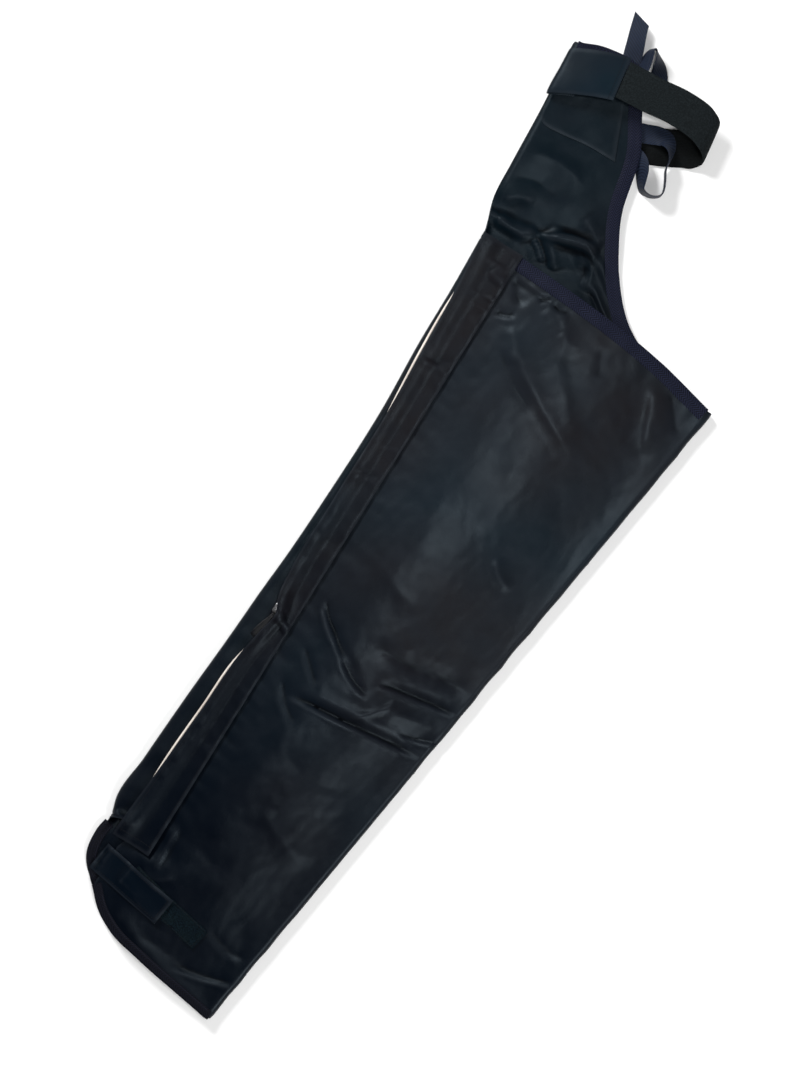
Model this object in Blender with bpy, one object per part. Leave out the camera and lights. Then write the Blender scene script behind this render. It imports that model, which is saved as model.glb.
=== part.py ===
"""One leg of a pair of riding chaps, lying on its back on a flat surface.

The leg is a tapered cloth tube, flattened as it lies.  X runs across the leg from the outer fold to the
inner fold, Y from the hem to the waist and Z up.  The storm flap's seam is the line x = 0 and the hem's
lowest corner is y = 0 while the pieces are made; the last step puts the whole leg over its own middle.
All lengths are in metres.
"""

import math
from collections import namedtuple

import bpy
import numpy as np
from mathutils import Vector
from mathutils.bvhtree import BVHTree

# Driving dimensions of the leg
LEG_LENGTH = 0.809  # hem's low corner to the top of the storm flap
HIP_RISE = 0.228  # top of the storm flap to the waist edge
INNER_THIGH = 0.2435  # flap seam to the inner fold, at the crotch
INNER_HEM = 0.1385  # flap seam to the inner fold, at the hem
OUTER_REACH = 0.050  # flap seam to the outer fold
HEM_RISE = 0.052  # how much higher the hem is at the outer side
PUFF = 0.029  # height of the flattened leg at its fullest
CLOTH = 0.002  # shell cloth and lining
FOLD_RADIUS = 0.0055  # middle of the cloth where the leg is folded flat
SEAM_INSET = 0.014  # inner seam, under the leg, in from the inner fold
GAP = 0.0003  # between pieces that are sewn together
REST_GAP = 0.0004  # between a piece and the cloth that it lies on

# Flap, piping and zip
FLAP_WIDTH = 0.046
FLAP_CLOTH = 0.0024
FLAP_END = 0.106  # hem's low corner to the flap's lower end
PIPING = 0.0026  # diameter
ZIP_REACH_LOW = 0.36  # flap seam to the middle of the zip at its lower end, share of OUTER_REACH
ZIP_REACH_HIGH = 0.56  # the same at its upper end
ZIP_WIDTH = 0.0058
ZIP_THICKNESS = 0.0016
ZIP_END = 0.112  # hem's low corner to where the zip's slit closes
ZIP_SIDE_GAP = 0.0006
SLIDER_AT = 0.383  # hem's low corner to the slider
SLIDER_SIZE = (0.0075, 0.0110, 0.0026)
PULLER_LENGTH = 0.030
PULLER_WIDTH = 0.007
PULLER_THICKNESS = 0.0016
PULLER_SWING = 13.0  # degrees that the puller leans towards the outer fold

# Bindings, which are tapes folded over a cut edge
TAPE = 0.0009
BINDING = 0.0125  # width of the binding that shows on the thigh and hip
CORNER_BINDING = 0.0080  # width of the binding that shows at the hem
WAIST_BINDING = 0.0100  # width of the binding that shows at the waist
BINDING_UNDER = 0.0035  # width of the binding that is turned under
BINDING_GAP = 0.0006  # between a tape and the cloth that it is folded over
EDGE_LIFT = 0.0026  # a bound edge lies this far off the surface

# Waist
HIP_LIFT = 0.0056  # the hip lies on the band's return and the webbing
HIP_TURN = 0.009  # length of cloth that rolls down at the hip's outer edge
TAB_BAND_WIDTH = 0.047
BAND_CLOTH = 0.0018
ELASTIC_WIDTH = 0.0395
ELASTIC = 0.0016
BAND_HEIGHT = 0.0295  # height of the upper run of the waist loop
FACING_CLOTH = 0.0010
WEBBING_WIDTH = 0.0195
WEBBING = 0.0013
WEBBING_CUT = 0.32  # slant of the webbing's cut end, share of its width

# Hem closure
TAB_LENGTH = 0.0860
TAB_WIDTH = 0.0300
TAB_CLOTH = 0.0022
TAB_TURN = -7.6  # degrees from straight across the leg
TAB_AT = (0.0427, 0.0680)  # middle of the tab's free end
PATCH_LENGTH = 0.0950
PATCH_WIDTH = 0.0230
PATCH_CLOTH = 0.0014
PATCH_TURN = -11.6
PATCH_AT = (0.0880, 0.0624)  # middle of the patch's inner end

# Shares and lengths that shape the cloth between the sizes above
LOOSE_REACH = 0.63  # the front panel's free corner below the zip, share of OUTER_REACH
LOOSE_HEIGHT = 1.38  # its height there, share of FOLD_RADIUS
CLOSE_FROM, CLOSE_OVER = 0.85, 0.30  # where that corner comes in beside the zip, shares of ZIP_END
RISE_FROM = 0.90  # where the cloth beside the zip comes up, share of ZIP_END
CROWN_OUTER, CROWN_INNER = 0.42, 0.48  # width over which the front rises from each side, share of its own
SIDE_EASE = 0.30  # width over which the free corner's drop is lost, share of the front's own
LIFT_FROM, LIFT_OVER = 1.012, 0.075  # where the hip comes up onto the straps, shares of LEG_LENGTH
LIFT_SHARE = 0.375  # where the hip starts to lift to its bound edge, share of the way to it
WRAP_FROM, WRAP_OVER = 1.01, 0.17  # where the cloth comes round the outer fold, shares of ZIP_END
WRAP_PAST, WRAP_EASE = 0.004, 0.016  # where it leaves it above the leg's top, and over what length
LEAST_TURN_BACK = 0.002  # flat cloth beside the zip
HIP_EASE = 0.030
CORNER_CURL, CURL_EASE = 0.50, 0.020  # turn of the free outer corner, share of a full fold's, and its length
CORNER_WIDE = 0.18  # width of that corner, share of the back's own
FLAT_CURVE = 1e-3  # curvature below which cloth counts as flat
ZIP_CHAIN_FROM = 1.19  # lower end of the zip's chain, share of ZIP_END
ZIP_TOP_INSET = 0.016  # its upper end, below the flap's top
FOLD_CLEAR = (0.12, 0.16)  # creases fade beside the flap and the inner fold, shares of the width
SLIDER_ENDS = (0.72, 0.55)  # the slider's narrow ends: their width and where they start, shares
FLAP_STEP = (0.4, 0.4)  # share of the flap, from its seam, where it comes up onto the piping

# Heights along the leg.  along is a share of LEG_LENGTH, outer of OUTER_REACH, flap of FLAP_WIDTH and
# rise of PUFF.
Section = namedtuple("Section", "along outer flap rise")
SECTIONS = (
    Section(0.062, 0.62, 0.93, 0.58),
    Section(0.075, 0.86, 0.93, 0.61),
    Section(0.090, 1.03, 0.93, 0.64),
    Section(0.122, 1.13, 0.93, 0.73),
    Section(0.151, 1.08, 0.900, 0.79),
    Section(0.167, 1.16, 0.885, 0.81),
    Section(0.229, 1.12, 0.804, 0.87),
    Section(0.324, 1.048, 0.696, 0.92),
    Section(0.405, 0.965, 0.635, 0.93),
    Section(0.440, 0.935, 0.53, 0.93),
    Section(0.468, 0.915, 0.45, 0.93),
    Section(0.485, 0.900, 0.585, 0.92),
    Section(0.520, 0.860, 0.670, 0.94),
    Section(0.624, 0.796, 0.700, 1.00),
    Section(0.752, 0.780, 0.7065, 1.00),
    Section(0.846, 0.856, 0.783, 1.00),
    Section(0.920, 0.875, 0.861, 0.94),
    Section(1.000, 0.930, 1.000, 0.80),
)
# The hip's outer edge.  up is a share of HIP_RISE above the flap's top, outer of OUTER_REACH.
HipSection = namedtuple("HipSection", "up outer")
HIP_SECTIONS = (
    HipSection(-0.10, 0.89),
    HipSection(0.00, 0.93),
    HipSection(0.158, 1.15),
    HipSection(0.32, 1.20),
    HipSection(0.64, 1.29),
    HipSection(0.904, 1.42),
)
# The top edge of the back panel, from the outer fold along the waist and down to the crotch.  column is
# the share of the panel's columns, across a share of INNER_THIGH, up a share of HIP_RISE.
EdgePoint = namedtuple("EdgePoint", "column across up")
BACK_TOP = (
    EdgePoint(0.00, -0.262, 0.925),
    EdgePoint(0.13, -0.155, 0.966),
    EdgePoint(0.21, -0.050, 0.978),
    EdgePoint(0.26, 0.012, 0.968),
    EdgePoint(0.33, 0.097, 0.806),
    EdgePoint(0.40, 0.183, 0.640),
    EdgePoint(0.48, 0.240, 0.400),
    EdgePoint(0.56, 0.318, 0.236),
    EdgePoint(0.64, 0.405, 0.103),
    EdgePoint(0.72, 0.494, 0.004),
    EdgePoint(0.82, 0.620, -0.072),
    EdgePoint(0.91, 0.765, -0.112),
    EdgePoint(1.00, 0.930, -0.158),
)
WAIST_CORNER = 3  # row of BACK_TOP where the waist edge meets the hip edge
# The hem's height above its low corner, a share of HEM_RISE, and the front panel's top edge, a share of
# LEG_LENGTH.  across runs from the zip to the inner fold.
EdgeHeight = namedtuple("EdgeHeight", "across height")
HEM = (
    EdgeHeight(0.00, 1.00),
    EdgeHeight(0.10, 0.69),
    EdgeHeight(0.22, 0.48),
    EdgeHeight(0.47, 0.29),
    EdgeHeight(0.75, 0.135),
    EdgeHeight(1.00, 0.00),
)
FRONT_TOP = (
    EdgeHeight(0.00, 0.9975),
    EdgeHeight(0.25, 0.9925),
    EdgeHeight(0.50, 0.9860),
    EdgeHeight(0.75, 0.9760),
    EdgeHeight(1.00, 0.9590),
)
# Creases and ridges.  across is a share of INNER_THIGH and along of LEG_LENGTH, from one end to the other;
# depth is a share of PUFF, minus where the cloth sinks, and width a share of INNER_THIGH.
Fold = namedtuple("Fold", "across0 along0 across1 along1 depth width")
FRONT_FOLDS = (
    Fold(0.12, 0.392, 0.74, 0.414, -0.26, 0.045),
    Fold(0.20, 0.428, 0.80, 0.446, 0.13, 0.055),
    Fold(0.40, 0.464, 0.76, 0.479, -0.19, 0.040),
    Fold(0.30, 0.498, 0.80, 0.516, -0.17, 0.050),
    Fold(0.10, 0.500, 0.36, 0.450, -0.16, 0.036),
    Fold(0.14, 0.455, 0.25, 0.412, 0.10, 0.040),
    Fold(0.24, 0.940, 0.60, 0.830, 0.12, 0.070),
    Fold(0.72, 0.940, 0.86, 0.850, -0.14, 0.050),
    Fold(0.45, 0.120, 0.62, 0.075, -0.12, 0.060),
    Fold(0.30, 0.260, 0.55, 0.210, 0.08, 0.080),
)
HIP_FOLDS = (
    Fold(-0.20, 1.024, 0.02, 1.032, 0.16, 0.050),
    Fold(0.02, 1.040, 0.26, 1.058, 0.20, 0.055),
    Fold(0.28, 1.045, 0.42, 1.015, 0.10, 0.040),
)
# How far the piping shows beyond the flap's edge, a share of its diameter; below 0 it is tucked under
Tuck = namedtuple("Tuck", "along out")
PIPING_TUCKS = (
    Tuck(0.13, -0.4),
    Tuck(0.20, -0.3),
    Tuck(0.24, 0.6),
    Tuck(0.32, 1.0),
    Tuck(0.39, 0.6),
    Tuck(0.42, -0.3),
    Tuck(0.55, -0.4),
    Tuck(0.73, -0.3),
    Tuck(0.78, 0.6),
    Tuck(0.84, 1.0),
    Tuck(0.90, 0.6),
    Tuck(0.93, -0.3),
    Tuck(0.99, -0.4),
)
# The waist band's middle line and width direction.  right is from the flap seam and up from the flap's
# top, shares of HIP_RISE; height is a share of BAND_HEIGHT; turn is degrees of the width's direction
# from straight up the leg; wide is a share of the band's width.
BandPoint = namedtuple("BandPoint", "right up height turn wide")
TAB_RUN = (
    BandPoint(-0.200, 0.811, 0.375, 11.0, 0.98),
    BandPoint(-0.245, 0.792, 0.372, 10.0, 1.00),
    BandPoint(-0.278, 0.776, 0.400, 7.0, 1.04),
    BandPoint(-0.2975, 0.768, 0.505, 4.0, 1.08),
    BandPoint(-0.290, 0.773, 0.640, 5.0, 1.06),
    BandPoint(-0.255, 0.790, 0.730, 8.0, 1.03),
    BandPoint(-0.197, 0.816, 0.820, 11.0, 1.01),
    BandPoint(-0.120, 0.846, 0.930, 10.0, 0.99),
    BandPoint(-0.0415, 0.872, 0.990, 8.6, 0.97),
)
ELASTIC_RUN = (
    BandPoint(-0.0380, 0.8725, 0.990, 8.6, 0.97),
    BandPoint(0.040, 0.878, 1.000, 4.0, 0.955),
    BandPoint(0.114, 0.8825, 1.000, 0.0, 0.955),
    BandPoint(0.224, 0.8965, 0.990, -1.0, 0.955),
    BandPoint(0.333, 0.8950, 0.960, 1.0, 0.955),
    BandPoint(0.395, 0.8780, 0.880, 5.0, 0.98),
    BandPoint(0.4250, 0.862, 0.720, 7.0, 1.02),
    BandPoint(0.4360, 0.848, 0.500, 8.0, 1.06),
    BandPoint(0.4260, 0.830, 0.250, 9.5, 1.03),
    BandPoint(0.398, 0.803, 0.085, 13.0, 1.00),
    BandPoint(0.355, 0.783, 0.042, 17.0, 0.98),
    BandPoint(0.296, 0.751, 0.041, 24.0, 0.97),
    BandPoint(0.225, 0.717, 0.041, 25.6, 0.97),
    BandPoint(0.125, 0.668, 0.041, 25.6, 0.97),
)
# Webbing straps: right and up as above; height is a share of WEBBING_WIDTH; tilt is degrees that the
# strap's left edge, seen along the strap, is raised.
WebPoint = namedtuple("WebPoint", "right up height tilt")
LOWER_LOOP = (
    WebPoint(0.085, 0.722, 0.159, 0.0),
    WebPoint(0.153, 0.739, 0.159, 0.0),
    WebPoint(0.197, 0.756, 0.190, -3.0),
    WebPoint(0.226, 0.766, 0.255, -10.0),
    WebPoint(0.261, 0.767, 0.380, -24.0),
    WebPoint(0.289, 0.751, 0.530, -46.0),
    WebPoint(0.309, 0.724, 0.635, -68.0),
    WebPoint(0.322, 0.688, 0.665, -84.0),
    WebPoint(0.327, 0.652, 0.620, -90.0),
    WebPoint(0.346, 0.618, 0.540, -90.0),
    WebPoint(0.365, 0.580, 0.522, -90.0),
    WebPoint(0.370, 0.550, 0.522, -90.0),
    WebPoint(0.355, 0.529, 0.522, -90.0),
    WebPoint(0.323, 0.516, 0.522, -88.0),
    WebPoint(0.287, 0.521, 0.518, -80.0),
    WebPoint(0.265, 0.553, 0.500, -66.0),
    WebPoint(0.243, 0.594, 0.470, -56.0),
)
UPPER_LOOP = (
    WebPoint(0.112, 0.905, 0.100, 0.0),
    WebPoint(0.098, 0.955, 0.130, 6.0),
    WebPoint(0.086, 0.990, 0.260, 24.0),
    WebPoint(0.064, 1.028, 0.420, 48.0),
    WebPoint(0.036, 1.060, 0.515, 74.0),
    WebPoint(0.012, 1.076, 0.535, 86.0),
    WebPoint(-0.004, 1.064, 0.535, 88.0),
    WebPoint(-0.008, 1.036, 0.535, 88.0),
    WebPoint(-0.004, 1.004, 0.535, 88.0),
)
LOOSE_END = (
    WebPoint(-0.018, 0.900, 0.100, 0.0),
    WebPoint(-0.040, 0.955, 0.105, 0.0),
    WebPoint(-0.058, 1.004, 0.160, -8.0),
    WebPoint(-0.077, 1.058, 0.255, -22.0),
    WebPoint(-0.096, 1.112, 0.305, -29.0),
    WebPoint(-0.110, 1.162, 0.315, -30.0),
)
# The stitched facing on the hip: its lower and upper ends, across as shares of INNER_THIGH, up of HIP_RISE
FacingColumn = namedtuple("FacingColumn", "low_across low_up high_across high_up")
FACING = (
    FacingColumn(-0.252, 0.605, -0.262, 0.80),
    FacingColumn(-0.238, 0.562, -0.240, 0.81),
    FacingColumn(-0.208, 0.540, -0.205, 0.82),
    FacingColumn(-0.130, 0.546, -0.140, 0.83),
    FacingColumn(-0.020, 0.562, -0.060, 0.84),
    FacingColumn(0.112, 0.566, 0.000, 0.85),
)
# The zip puller's outline: along is a share of PULLER_LENGTH, half of half PULLER_WIDTH
Outline = namedtuple("Outline", "along half")
PULLER = (
    Outline(0.00, 0.50),
    Outline(0.15, 0.62),
    Outline(0.45, 1.00),
    Outline(0.88, 1.00),
    Outline(0.97, 0.80),
    Outline(1.00, 0.45),
)

# Rows of the leg, in shares of LEG_LENGTH, and of the hip, in shares of the way to its top edge
LEG_ROWS = (
    0.0, 0.021, 0.042, 0.065, 0.088, 0.112, 0.134, 0.156, 0.185, 0.235, 0.285, 0.330, 0.360,
    0.380, 0.396, 0.410, 0.428, 0.446, 0.462, 0.476, 0.492, 0.508, 0.526, 0.560, 0.610, 0.670,
    0.725, 0.775, 0.820, 0.860, 0.900, 0.938,
)
HIP_ROWS = (0.09, 0.15, 0.20, 0.25, 0.31, 0.38, 0.46, 0.55, 0.66, 0.77, 0.88, 1.0)
FRONT_END_ROWS = (0.958, 0.977, 0.990)
FRONT_COLUMNS = (0.0, 0.05, 0.1, 0.18, 0.27, 0.36, 0.45, 0.54, 0.63, 0.72, 0.81, 0.89, 0.95, 1.0)
FRONT_BINDING_FROM = 2  # the flap covers the front panel's top edge up to this column
FOLD_STEPS = 5  # segments round each fold
FLAT_STEPS = 2  # segments from the outer fold to the zip
HEM_BLEND = 0.20  # share of LEG_LENGTH over which the rows turn from the hem's slope to straight
TOP_BLEND = 0.30  # the same at the front panel's top edge
FLAP_COLUMNS = 6
EDGE_STEP = 0.014  # a binding has a section at least this often
STRAP_STEPS = 2  # segments between two rows of a strap's table
PIPING_SIDES = 8
CORNER_ROWS = 5  # rows of the leg that the rear corner's binding runs up
CORNER_COLUMNS = 1  # columns of the hem that it runs along

# Colours as linear red, green and blue, with roughness
LOOKS = {
    "shell": (0.0105, 0.0135, 0.0195, 0.50),
    "binding": (0.0090, 0.0105, 0.0270, 0.72),
    "webbing": (0.0110, 0.0170, 0.0400, 0.65),
    "elastic": (0.0080, 0.0120, 0.0120, 0.85),
    "hook_loop": (0.0040, 0.0100, 0.0110, 0.95),
    "piping": (0.6000, 0.5400, 0.4800, 0.45),
    "zip": (0.0060, 0.0070, 0.0090, 0.45),
}


def clear_scene():
    for obj in list(bpy.data.objects):
        bpy.data.objects.remove(obj)


def material(name):
    found = bpy.data.materials.get(name)
    if found:
        return found
    red, green, blue, roughness = LOOKS[name]
    made = bpy.data.materials.new(name)
    made.use_nodes = True
    shader = made.node_tree.nodes["Principled BSDF"]
    shader.inputs["Base Color"].default_value = (red, green, blue, 1.0)
    shader.inputs["Roughness"].default_value = roughness
    return made


def smooth(share):
    """0 below 0, 1 above 1 and an even S between."""
    held = np.clip(share, 0.0, 1.0)
    return held * held * (3 - 2 * held)


def curve_through(places, values, at):
    """A smooth curve through values at places, read at at."""
    places = np.asarray(places, float)
    values = np.asarray(values, float)
    slopes = np.gradient(values, places, axis=0)
    at = np.clip(np.asarray(at, float), places[0], places[-1])
    low = np.clip(np.searchsorted(places, at, side="right") - 1, 0, len(places) - 2)
    step = places[low + 1] - places[low]
    share = (at - places[low]) / step
    if values.ndim > 1:
        step, share = step[..., None], share[..., None]
    cube, square = share**3, share**2
    return (
        (2 * cube - 3 * square + 1) * values[low]
        + (cube - 2 * square + share) * step * slopes[low]
        + (3 * square - 2 * cube) * values[low + 1]
        + (cube - square) * step * slopes[low + 1]
    )


def column_of(rows, name):
    return [getattr(row, name) for row in rows]


def section(name, y):
    return curve_through(column_of(SECTIONS, "along"), column_of(SECTIONS, name), y / LEG_LENGTH)


def outer_fold(y):
    """x of the leg's outer silhouette, down the leg and up the hip."""
    up = (y - LEG_LENGTH) / HIP_RISE
    hip = curve_through(column_of(HIP_SECTIONS, "up"), column_of(HIP_SECTIONS, "outer"), up)
    return -OUTER_REACH * np.where(y < LEG_LENGTH, section("outer", y), hip)


def inner_fold(y):
    """x of the leg's inner silhouette, which is straight from hem to crotch."""
    return INNER_HEM + (INNER_THIGH - INNER_HEM) * y / (LEG_LENGTH * FRONT_TOP[-1].height)


def flap_edge(y):
    return -FLAP_WIDTH * section("flap", y)


def zip_middle(y):
    share = np.clip((y - ZIP_END) / (LEG_LENGTH - ZIP_END), 0.0, 1.0)
    return -OUTER_REACH * (ZIP_REACH_LOW + (ZIP_REACH_HIGH - ZIP_REACH_LOW) * share)


def leg_row(share, column):
    """y of a row of the leg at a column: rows follow the hem at first and then run straight across."""
    hem = HEM_RISE * curve_through(column_of(HEM, "across"), column_of(HEM, "height"), column)
    return share * LEG_LENGTH + hem * (1 - smooth(share / HEM_BLEND))


def fold_relief(folds, x, y):
    """Height that the folds add at x, y."""
    total = np.zeros(np.broadcast(x, y).shape)
    for fold in folds:
        start = np.array([fold.across0 * INNER_THIGH, fold.along0 * LEG_LENGTH])
        run = np.array([fold.across1 * INNER_THIGH, fold.along1 * LEG_LENGTH]) - start
        length = math.hypot(*run)
        ahead = ((x - start[0]) * run[0] + (y - start[1]) * run[1]) / length
        aside = ((x - start[0]) * run[1] - (y - start[1]) * run[0]) / length
        width = fold.width * INNER_THIGH
        ends = smooth(ahead / length * 4) * smooth((1 - ahead / length) * 4)
        total += fold.depth * PUFF * ends * np.exp(-((2 * aside / width) ** 2))
    return total


# Closed meshes from grids and sections


def add_object(name, look, points, faces):
    """An object whose faces look outwards."""
    points = np.asarray(points, float)
    volume = 0.0
    for face in faces:
        for second, third in zip(face[1:-1], face[2:]):
            volume += np.dot(points[face[0]], np.cross(points[second], points[third]))
    if volume < 0:
        faces = [face[::-1] for face in faces]
    mesh = bpy.data.meshes.new(name)
    mesh.from_pydata(points.tolist(), [], faces)
    mesh.update()
    mesh.materials.append(material(look))
    obj = bpy.data.objects.new(name, mesh)
    bpy.context.scene.collection.objects.link(obj)
    return obj


def grid_normals(grid):
    """Unit normal at each point of a grid, from the faces round it."""
    faces = np.cross(grid[1:, 1:] - grid[:-1, :-1], grid[1:, :-1] - grid[:-1, 1:])
    faces /= np.linalg.norm(faces, axis=-1, keepdims=True)
    total = np.zeros_like(grid)
    for rows in (slice(None, -1), slice(1, None)):
        for columns in (slice(None, -1), slice(1, None)):
            total[rows, columns] += faces
    return total / np.linalg.norm(total, axis=-1, keepdims=True)


def cloth(name, look, grid, thickness):
    """A closed sheet whose middle is the grid."""
    rows, columns = grid.shape[:2]
    out = grid_normals(grid) * thickness / 2
    points = np.concatenate([(grid + out).reshape(-1, 3), (grid - out).reshape(-1, 3)])
    under = rows * columns
    faces = []
    for i in range(rows - 1):
        for j in range(columns - 1):
            a, b = i * columns + j, (i + 1) * columns + j
            faces.append((a, a + 1, b + 1, b))
            faces.append((b + under, b + 1 + under, a + 1 + under, a + under))
    border = [(0, j) for j in range(columns)] + [(i, columns - 1) for i in range(1, rows)]
    border += [(rows - 1, j) for j in range(columns - 2, -1, -1)]
    border += [(i, 0) for i in range(rows - 2, 0, -1)]
    ring = [i * columns + j for i, j in border]
    for a, b in zip(ring, ring[1:] + ring[:1]):
        faces.append((b, a, a + under, b + under))
    return add_object(name, look, points, faces)


def swept(name, look, sections, caps):
    """A closed bar through sections, which are rings of points; caps splits each end into faces."""
    sections = np.asarray(sections)
    count, sides = sections.shape[:2]
    faces = []
    for i in range(count - 1):
        for j in range(sides):
            k = (j + 1) % sides
            faces.append((i * sides + j, i * sides + k, (i + 1) * sides + k, (i + 1) * sides + j))
    last = (count - 1) * sides
    for cap in caps:
        faces.append(tuple(reversed(cap)))
        faces.append(tuple(last + index for index in cap))
    return add_object(name, look, sections.reshape(-1, 3), faces)


def edge_path(grid, cells):
    """Points along a sheet's edge with the sheet's normals, none further apart than EDGE_STEP."""
    normal = grid_normals(grid)
    points, normals = [], []
    for a, b in zip(cells, cells[1:]):
        count = max(1, math.ceil(np.linalg.norm(grid[b] - grid[a]) / EDGE_STEP))
        for k in range(count):
            points.append(grid[a] + (grid[b] - grid[a]) * k / count)
            normals.append(normal[a] + (normal[b] - normal[a]) * k / count)
    points.append(grid[cells[-1]])
    normals.append(normal[cells[-1]])
    normals = np.array(normals)
    return np.array(points), normals / np.linalg.norm(normals, axis=1, keepdims=True)


def binding(name, sheet, grid, cells, width, left):
    """Tape folded over the edge of a sheet; left says that the sheet lies left of the way along cells."""
    points, normals = edge_path(grid, cells)
    ahead = np.gradient(points[:, :2], axis=0)
    ahead /= np.linalg.norm(ahead, axis=1, keepdims=True)
    inward = np.stack([-ahead[:, 1], ahead[:, 0], np.zeros(len(ahead))], axis=1) * (1 if left else -1)
    tree = surface_of(sheet)
    near, far = BINDING_GAP, BINDING_GAP + TAPE
    rings = []
    for edge, up, into in zip(points, normals, inward):
        over = [surface_at(tree, edge + into * width * share) for share in (1.0, 0.67, 0.33)]
        under, under_up = surface_at(tree, edge + into * BINDING_UNDER)
        under = under - under_up * CLOTH
        top, low = edge + up * CLOTH / 2, edge - up * CLOTH / 2
        outside = [point + turned * far for point, turned in over]
        outside += [top + up * far - into * far, low - up * far - into * far, under - under_up * far]
        inside = [point + turned * near for point, turned in over]
        inside += [top + up * near - into * near, low - up * near - into * near, under - under_up * near]
        rings.append(outside + inside[::-1])
    last = len(rings[0]) - 1
    return swept(name, "binding", rings, [(k, k + 1, last - 1 - k, last - k) for k in range(last // 2)])


# Laying pieces on others


def surface_of(*objects):
    """One tree of all the objects' faces."""
    points, faces = [], []
    for obj in objects:
        faces += [tuple(i + len(points) for i in face.vertices) for face in obj.data.polygons]
        points += [vertex.co.copy() for vertex in obj.data.vertices]
    return BVHTree.FromPolygons(points, faces)


def top_at(tree, x, y):
    """Highest point of the surface over x, y, or the floor."""
    hit = tree.ray_cast(Vector((x, y, 1.0)), Vector((0, 0, -1)))[0]
    return hit.z if hit else 0.0


def surface_at(tree, point):
    """The surface over or under a point and its normal."""
    hit, normal = tree.ray_cast(Vector((point[0], point[1], 1.0)), Vector((0, 0, -1)))[:2]
    return np.array(hit), np.array(normal)


def lay(grid, tree, lift, reach, ease):
    """The grid, laid on a surface and eased between its points without sinking into it."""
    steps = (-reach, -reach / 2, 0.0, reach / 2, reach)
    least = np.array(
        [
            [max(top_at(tree, point[0] + a, point[1] + b) for a in steps for b in steps) for point in row]
            for row in grid
        ]
    )
    height = least.copy()
    for _ in range(ease):
        edged = np.pad(height, 1, mode="edge")
        mean = (edged[:-2, 1:-1] + edged[2:, 1:-1] + edged[1:-1, :-2] + edged[1:-1, 2:]) / 4
        height = np.maximum(least, mean)
    laid = grid.copy()
    laid[..., 2] = height + lift
    return laid


# The leg's two panels


def front_left(y):
    """x of the front panel's outer edge: beside the zip, and free below the zip's end."""
    beside = zip_middle(y) + ZIP_WIDTH / 2 + ZIP_SIDE_GAP
    loose = -LOOSE_REACH * OUTER_REACH
    return loose + (beside - loose) * smooth((y / ZIP_END - CLOSE_FROM) / CLOSE_OVER)


def front_height(share, y):
    """Middle of the front panel's cloth above the surface, from the zip (0) to the inner fold (1)."""
    edge = CLOTH / 2 + 2 * FOLD_RADIUS
    loose = CLOTH / 2 + LOOSE_HEIGHT * FOLD_RADIUS
    outer = loose + (edge - loose) * smooth((y / ZIP_END - RISE_FROM) / CLOSE_OVER)
    crown = smooth(share / CROWN_OUTER) * smooth((1 - share) / CROWN_INNER)
    side = outer + (edge - outer) * smooth(share / SIDE_EASE)
    return side + (PUFF * section("rise", y) - edge) * crown


def front_grid():
    """Middle of the front panel: across the top, round the inner fold and back to the inner seam."""
    shares = np.array(FRONT_COLUMNS)
    top = curve_through(column_of(FRONT_TOP, "across"), column_of(FRONT_TOP, "height"), shares)
    rows = []
    for end in LEG_ROWS + FRONT_END_ROWS:
        end = end / FRONT_END_ROWS[-1]
        y = leg_row(end, shares) + (top - 1) * LEG_LENGTH * smooth((end - 1 + TOP_BLEND) / TOP_BLEND)
        right = inner_fold(y) - FOLD_RADIUS - CLOTH / 2
        x = front_left(y) + (right - front_left(y)) * shares
        clear = smooth(x / (FOLD_CLEAR[0] * INNER_THIGH)) * smooth((1 - shares) / FOLD_CLEAR[1])
        z = front_height(shares, y) + fold_relief(FRONT_FOLDS, x, y) * clear
        row = list(zip(x, y, z))
        for step in range(1, FOLD_STEPS + 1):
            turn = math.pi * step / FOLD_STEPS
            side = right[-1] + FOLD_RADIUS * math.sin(turn)
            row.append((side, y[-1], CLOTH / 2 + FOLD_RADIUS * (1 + math.cos(turn))))
        row.append((inner_fold(y[-1]) - SEAM_INSET + GAP / 2, y[-1], CLOTH / 2))
        rows.append(row)
    return np.array(rows)


def hip_lift(y):
    return HIP_LIFT * smooth((y / LEG_LENGTH - LIFT_FROM) / LIFT_OVER)


def outer_wrap(y):
    """Curvature of the back panel's outer edge at y, and the length of cloth that goes round it.

    Down the leg the cloth goes up round the outer fold and back to the zip.  At the hip it rolls down, and
    below the zip's end it only lifts a little.
    """
    leg = smooth((y / ZIP_END - WRAP_FROM) / WRAP_OVER) * smooth((LEG_LENGTH + WRAP_PAST - y) / WRAP_EASE)
    flat = zip_middle(y) - ZIP_WIDTH / 2 - ZIP_SIDE_GAP - outer_fold(y) - FOLD_RADIUS - CLOTH / 2
    full = math.pi * FOLD_RADIUS + max(float(flat), LEAST_TURN_BACK)
    down = 2 * hip_lift(y) / HIP_TURN**2
    hip = smooth((y - LEG_LENGTH) / HIP_EASE)
    low = CORNER_CURL / FOLD_RADIUS * smooth((y - HEM_RISE) / CURL_EASE)
    curve = (low + (1 / FOLD_RADIUS - low) * leg) * (1 - hip) - down * hip
    return float(curve), float(HIP_TURN + (full - HIP_TURN) * leg)


def wrap_start(y):
    """x where the back panel leaves the surface to go round the outer fold."""
    curve, length = outer_wrap(y)
    if abs(curve) < FLAT_CURVE:
        return float(outer_fold(y)) + length
    radius = 1 / abs(curve)
    reach = radius if length > radius * math.pi / 2 else radius * math.sin(length / radius)
    return float(outer_fold(y)) + reach + CLOTH / 2


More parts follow.
